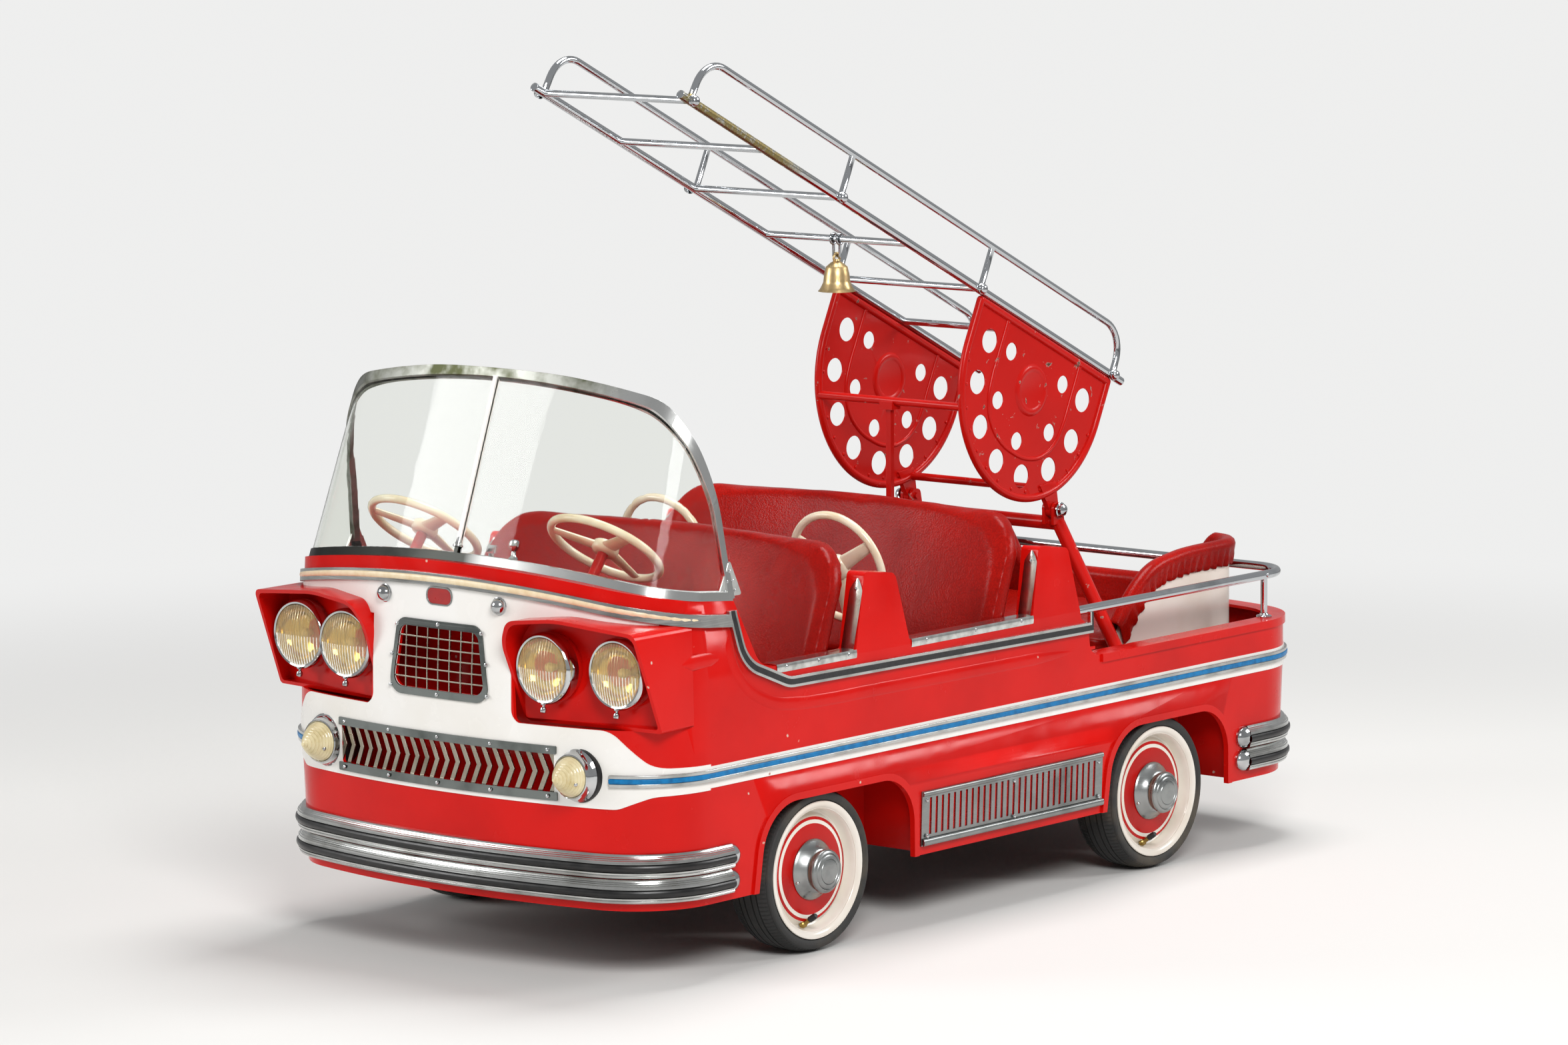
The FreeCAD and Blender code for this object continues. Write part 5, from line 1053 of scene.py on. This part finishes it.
for vert in roll.verts:
    rise = vert.co.z
    core = Vector((max(-SEAT_HALF + SEAT_CORNER, min(SEAT_HALF - SEAT_CORNER, vert.co.x)),
                   min(SEAT_REAR - SEAT_CORNER, vert.co.y), 0))
    arm = Vector((vert.co.x, vert.co.y, 0)) - core
    outwards = arm.normalized()
    turn = math.atan2(outwards.y, abs(outwards.x))
    path = vert.co.y if turn < 0.01 else 1.0 + SEAT_CORNER * turn + (SEAT_HALF - abs(core.x))
    hem = min(1.0, max(0.0, (0.006 - rise) / 0.026)) if arm.length > SEAT_CORNER - 0.002 else 0.0
    gather = (math.sin(path * 2 * math.pi / 0.0185 + 1.3 * math.sin(path * 31))
              + 0.5 * math.sin(path * 2 * math.pi / 0.0112 + 2.0))
    vert.co += outwards * (HEM_DEPTH * hem * gather)
    slope = (rim_height(core.y + 0.01 if turn < 0.01 else vert.co.y, vert.co.x)
             - rim_height(core.y - 0.01 if turn < 0.01 else vert.co.y, vert.co.x)) / 0.02
    vert.co.z = rim_height(vert.co.y, vert.co.x) + rise + 0.0014 * hem * math.sin(path * 250)
    if turn < 0.01:
        vert.co.y -= rise * min(1.2, slope) * 0.5
piece = placed("rear_seat_roll", roll, [leathercloth], "vehicle", ("rear_seat_cover",), 60)
wall = piece.modifiers.new("thickness", "SOLIDIFY")
wall.thickness = 0.0018
wall.offset = -1

# Guard rail: one chromed tube bent round the tub, on two short stands with plates.
tube_chrome = drawn("chromium plated tube", "C3C6C9", "76787B", 0.07, 30.0)
dressed("guard_rail", tube_chrome)
feet = bmesh.new()
for side in (-1, 1):
    lathe(feet, [(0.0140, 0.0), (0.0140, 0.0020), (0.0125, 0.0032), (0.0085, 0.0040),
                 (0.0072, 0.0070)], (side * 0.390, 0.792, 0.3992), (0, 0, 1), 24)
    screw(feet, (side * 0.3985, 0.792, 0.474), (side, 0, 0), 0.0036)
placed("guard_rail_feet", feet, [tube_chrome], "vehicle")


# Ladder support: a cross tube through the plates on bent legs from the rear deck, red enamel
# on steel with primer and bare metal at the chips, and chromed ball bolts at the clevises.
def chipped_enamel():
    """Red enamel on steel tube: pale grey primer and brown bare metal where paint has flaked."""
    material, shader, place = material_of("chipped red enamel on steel tube", {
        "Roughness": 0.24, "IOR": 1.45, "Specular IOR Level": 0.24})
    tone = add(material, "ShaderNodeTexNoise", {"Scale": 7, "Detail": 5}, {"Vector": place})
    paint = add(material, "ShaderNodeMix", {"data_type": "RGBA", 6: linear("CC150E"),
                                            7: linear("B2110B")}, {0: tone.outputs["Fac"]})
    flakes = add(material, "ShaderNodeTexNoise", {"Scale": 38, "Detail": 9, "Roughness": 0.7,
                                                  "Distortion": 0.4}, {"Vector": place})
    bare = add(material, "ShaderNodeMapRange", {"From Min": 0.655, "From Max": 0.668},
               {"Value": flakes.outputs["Fac"]})
    edge = add(material, "ShaderNodeMapRange", {"From Min": 0.640, "From Max": 0.652},
               {"Value": flakes.outputs["Fac"]})
    primed = add(material, "ShaderNodeMix", {"data_type": "RGBA", 7: linear("B9A79C")},
                 {0: edge.outputs["Result"], 6: paint.outputs[2]})
    worn = add(material, "ShaderNodeMix", {"data_type": "RGBA", 7: linear("5B3A2A")},
               {0: bare.outputs["Result"], 6: primed.outputs[2]})
    relief = add(material, "ShaderNodeBump", {"Strength": 0.35, "Distance": 0.0006,
                                              "invert": True}, {"Height": edge.outputs["Result"]})
    return wired(material, shader, {
        "Base Color": worn.outputs[2], "Normal": relief.outputs["Normal"]})


chipped_red = chipped_enamel()
dressed("ladder_support", chipped_red, 0.0006)
bolts = bmesh.new()
for side in (-1, 1):
    lathe(bolts, [(0.0135, 0.0), (0.0135, 0.0016), (0.0120, 0.0022), (0.0110, 0.0024),
                  (0.0112, 0.0050), (0.0098, 0.0085), (0.0062, 0.0108), (0.0, 0.0116)],
          (side * 0.1768, 0.478, 0.606), (side, 0, 0), 24)
placed("clevis_ball_bolts", bolts, [tube_chrome], "vehicle")

# Ladder plates: two D-shaped red sheets in a tube frame, pierced with lightening holes, with a
# raised disc, an embossed line, and a row of small screws along the rim.
dressed("ladder_plates", chipped_red, 0.0004)
SLOPE = math.radians(25.8)
ALONG = Vector((0, math.cos(SLOPE), -math.sin(SLOPE)))
UPRIGHT = Vector((0, math.sin(SLOPE), math.cos(SLOPE)))
ORIGIN = Vector((0, -0.4854, 1.3752))


def on_plate(side, along, up, out=0.0):
    """A point on a ladder plate: side ±1, along from the plate's middle, up from the rail."""
    return (ORIGIN + ALONG * (1.054 + along) + UPRIGHT * up
            + Vector((side * (0.1588 + out), 0, 0)))


SCREW_ARC = 0.1885
pressings = bmesh.new()
for side in (-1, 1):
    ridge(pressings, [on_plate(side, along, up) for along, up in (
        (-0.113, -0.018), (-0.113, -0.080), (-0.112, -0.130), (-0.104, -0.166),
        (-0.082, -0.197), (-0.045, -0.217), (0.0, -0.223), (0.045, -0.217), (0.082, -0.197),
        (0.104, -0.166), (0.112, -0.130), (0.113, -0.080), (0.113, -0.018))], 0.0042)
for side in (-1, 1):
    for out in (-1, 1):
        for turn in range(14):
            angle = math.radians(-172 + turn * 164 / 13)
            screw(pressings, on_plate(side, SCREW_ARC * math.cos(angle),
                                      -0.094 + SCREW_ARC * math.sin(angle), out * 0.0011),
                  (side * out, 0, 0), 0.0030)
        lathe(pressings, [(0.0460, 0.0), (0.0450, 0.0008), (0.0425, 0.0030), (0.0400, 0.0038),
                          (0.0350, 0.0038), (0.0325, 0.0024), (0.0310, 0.0020), (0.0, 0.0018)],
              on_plate(side, 0.0, -0.106, out * 0.0010), (side * out, 0, 0), 64)
placed("ladder_plate_pressings", pressings, [chipped_red, chrome], "ladder_frame")

# Ladder: chromed rails, rungs and hand loops welded from steel tube, worn to dull brass brown
# on the left rail in front, with ball nuts at the ends of every other rung.
def worn_chrome():
    """Plated tube whose left rail in front is rubbed down to dull brass and rust."""
    material, shader, place = material_of("worn chromium plated tube", {
        "Metallic": 1.0, "Roughness": 0.07, "Base Color": linear("C3C6C9")})
    apart = add(material, "ShaderNodeSeparateXYZ", {}, {"Vector": place})
    inside = add(material, "ShaderNodeMapRange", {"From Min": 0.148, "From Max": 0.152},
                 {"Value": apart.outputs["X"]})
    ahead = add(material, "ShaderNodeMapRange", {"From Min": -0.165, "From Max": -0.255},
                {"Value": apart.outputs["Y"]})
    # Above the rail's own line the tubes are the hand loop's, which kept its plating.
    rise = add(material, "ShaderNodeVectorMath", {
        "operation": "DOT_PRODUCT", 1: (0, math.sin(SLOPE), math.cos(SLOPE))}, {0: place})
    low = add(material, "ShaderNodeMapRange", {"From Min": 1.0400, "From Max": 1.0370},
              {"Value": rise.outputs["Value"]})
    patches = add(material, "ShaderNodeTexNoise", {"Scale": 70, "Detail": 8, "Roughness": 0.75},
                  {"Vector": place})
    first = add(material, "ShaderNodeMath", {"operation": "MULTIPLY"},
                {0: inside.outputs["Result"], 1: ahead.outputs["Result"]})
    second = add(material, "ShaderNodeMath", {"operation": "MULTIPLY"},
                 {0: first.outputs["Value"], 1: low.outputs["Result"]})
    torn = add(material, "ShaderNodeMapRange", {"From Min": 0.30, "From Max": 0.50},
               {"Value": patches.outputs["Fac"]})
    amount = add(material, "ShaderNodeMath", {"operation": "MULTIPLY"},
                 {0: second.outputs["Value"], 1: torn.outputs["Result"]})
    rust = add(material, "ShaderNodeMix", {"data_type": "RGBA", 6: linear("6E6A4C"),
                                           7: linear("94804F")},
               {0: patches.outputs["Fac"]})
    specks = add(material, "ShaderNodeTexNoise", {"Scale": 210, "Detail": 4}, {"Vector": place})
    pits = add(material, "ShaderNodeMapRange", {"From Min": 0.70, "From Max": 0.74,
                                                "To Max": 0.6},
               {"Value": specks.outputs["Fac"]})
    plated = add(material, "ShaderNodeMix", {"data_type": "RGBA", 6: linear("C3C6C9"),
                                             7: linear("6B5A45")},
                 {0: pits.outputs["Result"]})
    colour = add(material, "ShaderNodeMix", {"data_type": "RGBA"},
                 {0: amount.outputs["Value"], 6: plated.outputs[2], 7: rust.outputs[2]})
    rough = add(material, "ShaderNodeMapRange", {"To Min": 0.07, "To Max": 0.45},
                {"Value": amount.outputs["Value"]})
    return wired(material, shader, {
        "Base Color": colour.outputs[2], "Roughness": rough.outputs["Result"]})


dressed("ladder", worn_chrome())
fittings = bmesh.new()
for side in (-1, 1):
    for rung in (0, 2, 4, 6):
        middle = ORIGIN + ALONG * (rung * 0.2097) + Vector((side * 0.1661, 0, 0))
        lathe(fittings, [(0.0100, -0.0008), (0.0100, 0.0010), (0.0092, 0.0022),
                         (0.0086, 0.0024), (0.0088, 0.0048), (0.0076, 0.0080),
                         (0.0048, 0.0100), (0.0, 0.0106)], middle, (side, 0, 0), 20)
    for out in (-0.026, 1.292):
        middle = ORIGIN + ALONG * out + Vector((side * 0.1588, 0, 0))
        direction = ALONG * (1 if out > 0 else -1)
        lathe(fittings, [(0.0075, -0.0002), (0.0074, 0.0006), (0.0064, 0.0007),
                         (0.0061, 0.0002)], middle, direction, 24)
        lathe(fittings, [(0.0062, 0.0003), (0.0, 0.0003)], middle, direction, 24)
placed("ladder_fittings", fittings, [tube_chrome], "ladder_frame")

# Bell: spun brass, polished but spotted, hung from a rung in a chromed shackle; its clapper
# is a small brass ball.
brass = drawn("dulled spun brass", "D2B684", "A5875A", 0.36, 44.0)
dressed("bell", brass)
dressed("bell_hanger", tube_chrome)


# Windscreen: a clear acrylic pane in bright aluminium channel, with a painted dark olive
# reflection over its top bead and down its right side, riveted to two corner plates, with a
# thin white painted rod up its middle on a small foot.
def beaded():
    """Bright drawn aluminium with painted dark reflections: olive over the top and right side."""
    material, shader, place = material_of("aluminium channel with painted dark reflections", {
        "Metallic": 1.0, "Roughness": 0.22})
    apart = add(material, "ShaderNodeSeparateXYZ", {}, {"Vector": place})
    patch_noise = add(material, "ShaderNodeTexNoise", {"Scale": 24, "Detail": 6}, {"Vector": place})
    # Painted dark reflection: patchy dark olive over the top of the channel and all its right
    # side.
    far = add(material, "ShaderNodeMath", {"operation": "MULTIPLY_ADD", 1: -0.85},
              {0: apart.outputs["X"], 2: apart.outputs["Z"]})
    high = add(material, "ShaderNodeMapRange", {"From Min": 0.700, "From Max": 0.760},
               {"Value": far.outputs["Value"]})
    patchy = add(material, "ShaderNodeMapRange", {"From Min": 0.35, "From Max": 0.60,
                                                  "To Min": 1.0, "To Max": 0.6},
                 {"Value": patch_noise.outputs["Fac"]})
    amount = add(material, "ShaderNodeMath", {"operation": "MULTIPLY"},
                 {0: high.outputs["Result"], 1: patchy.outputs["Result"]})
    colour = add(material, "ShaderNodeMix", {"data_type": "RGBA", 6: linear("CFD0CE"),
                                             7: linear("474A33")},
                 {0: amount.outputs["Value"]})
    # Along the foot of the channel a painted dark reflection darkens the right; the left stays
    # bright.
    square = add(material, "ShaderNodeMath", {"operation": "MULTIPLY"},
                 {0: apart.outputs["X"], 1: apart.outputs["X"]})
    crowned = add(material, "ShaderNodeMath", {"operation": "MULTIPLY_ADD", 1: 0.18},
                  {0: square.outputs["Value"], 2: apart.outputs["Z"]})
    levelled = add(material, "ShaderNodeMath", {"operation": "MULTIPLY_ADD", 1: 0.10},
                   {0: apart.outputs["Y"], 2: crowned.outputs["Value"]})
    foot = add(material, "ShaderNodeMapRange", {"From Min": 0.5910, "From Max": 0.5900},
               {"Value": levelled.outputs["Value"]})
    right_side = add(material, "ShaderNodeMapRange", {"From Min": 0.22, "From Max": 0.02},
                     {"Value": apart.outputs["X"]})
    foot_reflection_mask = add(material, "ShaderNodeMath", {"operation": "MULTIPLY"},
                 {0: foot.outputs["Result"], 1: right_side.outputs["Result"]})
    foot_with_painted_reflection = add(material, "ShaderNodeMix", {"data_type": "RGBA", 7: linear("232422")},
                 {0: foot_reflection_mask.outputs["Value"], 6: colour.outputs[2]})
    # The rod up the middle is painted white.
    middle = add(material, "ShaderNodeMath", {"operation": "ABSOLUTE"},
                 {0: apart.outputs["X"]})
    rod = add(material, "ShaderNodeMapRange", {"From Min": 0.0062, "From Max": 0.0056},
              {"Value": middle.outputs["Value"]})
    between = add(material, "ShaderNodeMapRange", {"From Min": 0.9440, "From Max": 0.9420},
                  {"Value": apart.outputs["Z"]})
    above = add(material, "ShaderNodeMapRange", {"From Min": 0.6775, "From Max": 0.6790},
                {"Value": apart.outputs["Z"]})
    inside = add(material, "ShaderNodeMath", {"operation": "MULTIPLY"},
                 {0: rod.outputs["Result"], 1: between.outputs["Result"]})
    painted = add(material, "ShaderNodeMath", {"operation": "MULTIPLY"},
                  {0: inside.outputs["Value"], 1: above.outputs["Result"]})
    whitened = add(material, "ShaderNodeMix", {"data_type": "RGBA", 7: linear("ECEAE4")},
                   {0: painted.outputs["Value"], 6: foot_with_painted_reflection.outputs[2]})
    metal = add(material, "ShaderNodeMath", {"operation": "SUBTRACT", 0: 1.0},
                {1: painted.outputs["Value"]})
    rough = add(material, "ShaderNodeMapRange", {"To Min": 0.20, "To Max": 0.42},
                {"Value": amount.outputs["Value"]})
    return wired(material, shader, {
        "Metallic": metal.outputs["Value"], "Base Color": whitened.outputs[2],
        "Roughness": rough.outputs["Result"]})


channel = beaded()
dressed("windscreen_frame", channel, 0.0006)
pane = material_of("clear acrylic sheet", {
    "Base Color": linear("F4F6F2"), "Roughness": 0.03, "Transmission Weight": 1.0,
    "IOR": 1.18})[0]
dressed("windscreen_pane", pane)

# A folded corner plate holds each lower corner of the channel, with five small rivets.
plates = bmesh.new()
for side in (-1, 1):
    plate = bmesh.new()
    bmesh.ops.create_circle(plate, cap_ends=True, segments=3, radius=0.034)
    bmesh.ops.scale(plate, verts=plate.verts, vec=(1.0, 1.15, 1.0))
    extruded = bmesh.ops.extrude_face_region(plate, geom=plate.faces[:])
    bmesh.ops.translate(plate, vec=(0, 0, 0.0022), verts=verts_of(extruded))
    corners = [edge for edge in plate.edges
               if abs(edge.verts[0].co.z - edge.verts[1].co.z) > 0.001]
    bmesh.ops.bevel(plate, geom=corners, offset=0.006, segments=4, profile=0.5,
                    affect="EDGES", material=-1)
    bmesh.ops.transform(plate, verts=plate.verts, matrix=(
        Matrix.Translation((side * 0.4075 - 0.0011, -0.688, 0.629))
        @ Matrix.Rotation(math.pi / 2, 4, "X") @ Matrix.Rotation(math.pi / 2, 4, "Y")))
    poured(plate, plates)
    for along, height in ((-0.700, 0.618), (-0.676, 0.618), (-0.688, 0.650), (-0.695, 0.634),
                          (-0.681, 0.634)):
        screw(plates, (side * 0.4088, along, height), (side, 0, 0), 0.0026, 1)
placed("windscreen_corner_plates", plates, [aluminium, chrome], "vehicle")
foot = lathe(bmesh.new(), [(0.0085, -0.001), (0.0085, 0.0016), (0.0060, 0.0030),
                           (0.0046, 0.0080), (0.0040, 0.0150)], (0, -0.8790, 0.6770),
             (0, 0.34, 1), 20)
placed("windscreen_rod_foot", foot, [aluminium], "vehicle")


# Studio: the photo's long lens from the front left, a pale floor, four soft lamps, and a
# backdrop that is white to the camera but dimmer as a light.
camera_data = bpy.data.cameras.new("camera")
camera = linked("camera", camera_data)
turn = math.radians(39.875)
rise = math.radians(7.679)
roll = math.radians(-0.353)
back = Vector((math.sin(turn) * math.cos(rise), -math.cos(turn) * math.cos(rise),
               math.sin(rise)))
right = Vector((0, 0, 1)).cross(back).normalized()
up = back.cross(right)
across = right * math.cos(roll) + up * math.sin(roll)
upwards = up * math.cos(roll) - right * math.sin(roll)
CAMERA_PLACE = (6.8553, -8.27, 2.0692)
camera.matrix_world = Matrix.Translation(CAMERA_PLACE) @ Matrix(
    (across, upwards, back)).transposed().to_4x4()
camera_data.sensor_width = 36
camera_data.lens = 145.63
camera_data.clip_end = 60
bpy.context.scene.camera = camera

floor_mesh = bmesh.new()
bmesh.ops.create_grid(floor_mesh, x_segments=1, y_segments=1, size=30)
floor_data = bpy.data.meshes.new("floor")
floor_mesh.to_mesh(floor_data)
floor_mesh.free()
floor = linked("floor", floor_data)
# Near the model the floor is a pale matt paint that takes its shadow. From 1.5 m out it fades
# into the backdrop's own tone, so that no horizon shows.
BACKDROP = (0.86, 0.86, 0.855, 1)
floor_paint, floor_shader, floor_place = material_of("pale matt studio floor", {
    "Base Color": linear("DEDDDA"), "Roughness": 0.9})
distance = add(floor_paint, "ShaderNodeVectorMath", {"operation": "LENGTH"}, {0: floor_place})
fade = add(floor_paint, "ShaderNodeMapRange", {
    "interpolation_type": "SMOOTHSTEP", "From Min": 1.5, "From Max": 4.2},
    {"Value": distance.outputs["Value"]})
rays = add(floor_paint, "ShaderNodeLightPath")
direct = add(floor_paint, "ShaderNodeMath", {"operation": "MAXIMUM"},
             {0: rays.outputs["Is Camera Ray"], 1: rays.outputs["Is Transmission Ray"]})
share = add(floor_paint, "ShaderNodeMath", {"operation": "MULTIPLY"},
            {0: direct.outputs["Value"], 1: fade.outputs["Result"]})
glow = add(floor_paint, "ShaderNodeEmission", {"Color": BACKDROP})
both = add(floor_paint, "ShaderNodeMixShader", {}, {
    0: share.outputs["Value"], 1: floor_shader.outputs["BSDF"], 2: glow.outputs["Emission"]})
surface = next(node for node in floor_paint.node_tree.nodes
               if node.bl_idname == "ShaderNodeOutputMaterial")
floor_paint.node_tree.links.new(both.outputs["Shader"], surface.inputs["Surface"])
floor_data.materials.append(floor_paint)
floor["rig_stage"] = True

for name, place, power, width in (("key", (4.5, -4.0, 4.2), 290, 2.2),
                                  ("fill", (-4.5, -5.0, 2.6), 165, 2.4),
                                  ("top", (0.0, 0.8, 4.6), 140, 2.0),
                                  ("rear", (4.0, 4.0, 3.4), 130, 2.0)):
    lamp_data = bpy.data.lights.new(name, "AREA")
    lamp_data.energy = power
    lamp_data.size = width
    lamp = linked(name, lamp_data)
    lamp.location = place
    lamp.rotation_euler = (Vector((0, 0, 0.5)) - Vector(place)).to_track_quat(
        "-Z", "Y").to_euler()

world = bpy.data.worlds.new("studio")
world.use_nodes = True
bpy.context.scene.world = world
# Polished metal mirrors three tenths of the backdrop's white.
SHADED = (0.20, 0.203, 0.21, 1)
rays = add(world, "ShaderNodeLightPath")
direct = add(world, "ShaderNodeMath", {"operation": "MAXIMUM"},
             {0: rays.outputs["Is Camera Ray"], 1: rays.outputs["Is Transmission Ray"]})
glossy = add(world, "ShaderNodeMath", {"operation": "MULTIPLY", 1: 0.30},
             {0: rays.outputs["Is Glossy Ray"]})
seen = add(world, "ShaderNodeMath", {"operation": "MAXIMUM"},
           {0: direct.outputs["Value"], 1: glossy.outputs["Value"]})
tone = add(world, "ShaderNodeMix", {"data_type": "RGBA", 6: SHADED, 7: BACKDROP},
           {0: seen.outputs["Value"]})
background = world.node_tree.nodes["Background"]
world.node_tree.links.new(tone.outputs[2], background.inputs["Color"])
background.inputs["Strength"].default_value = 1.0
bpy.context.scene.view_settings.view_transform = "Standard"

low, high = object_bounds()
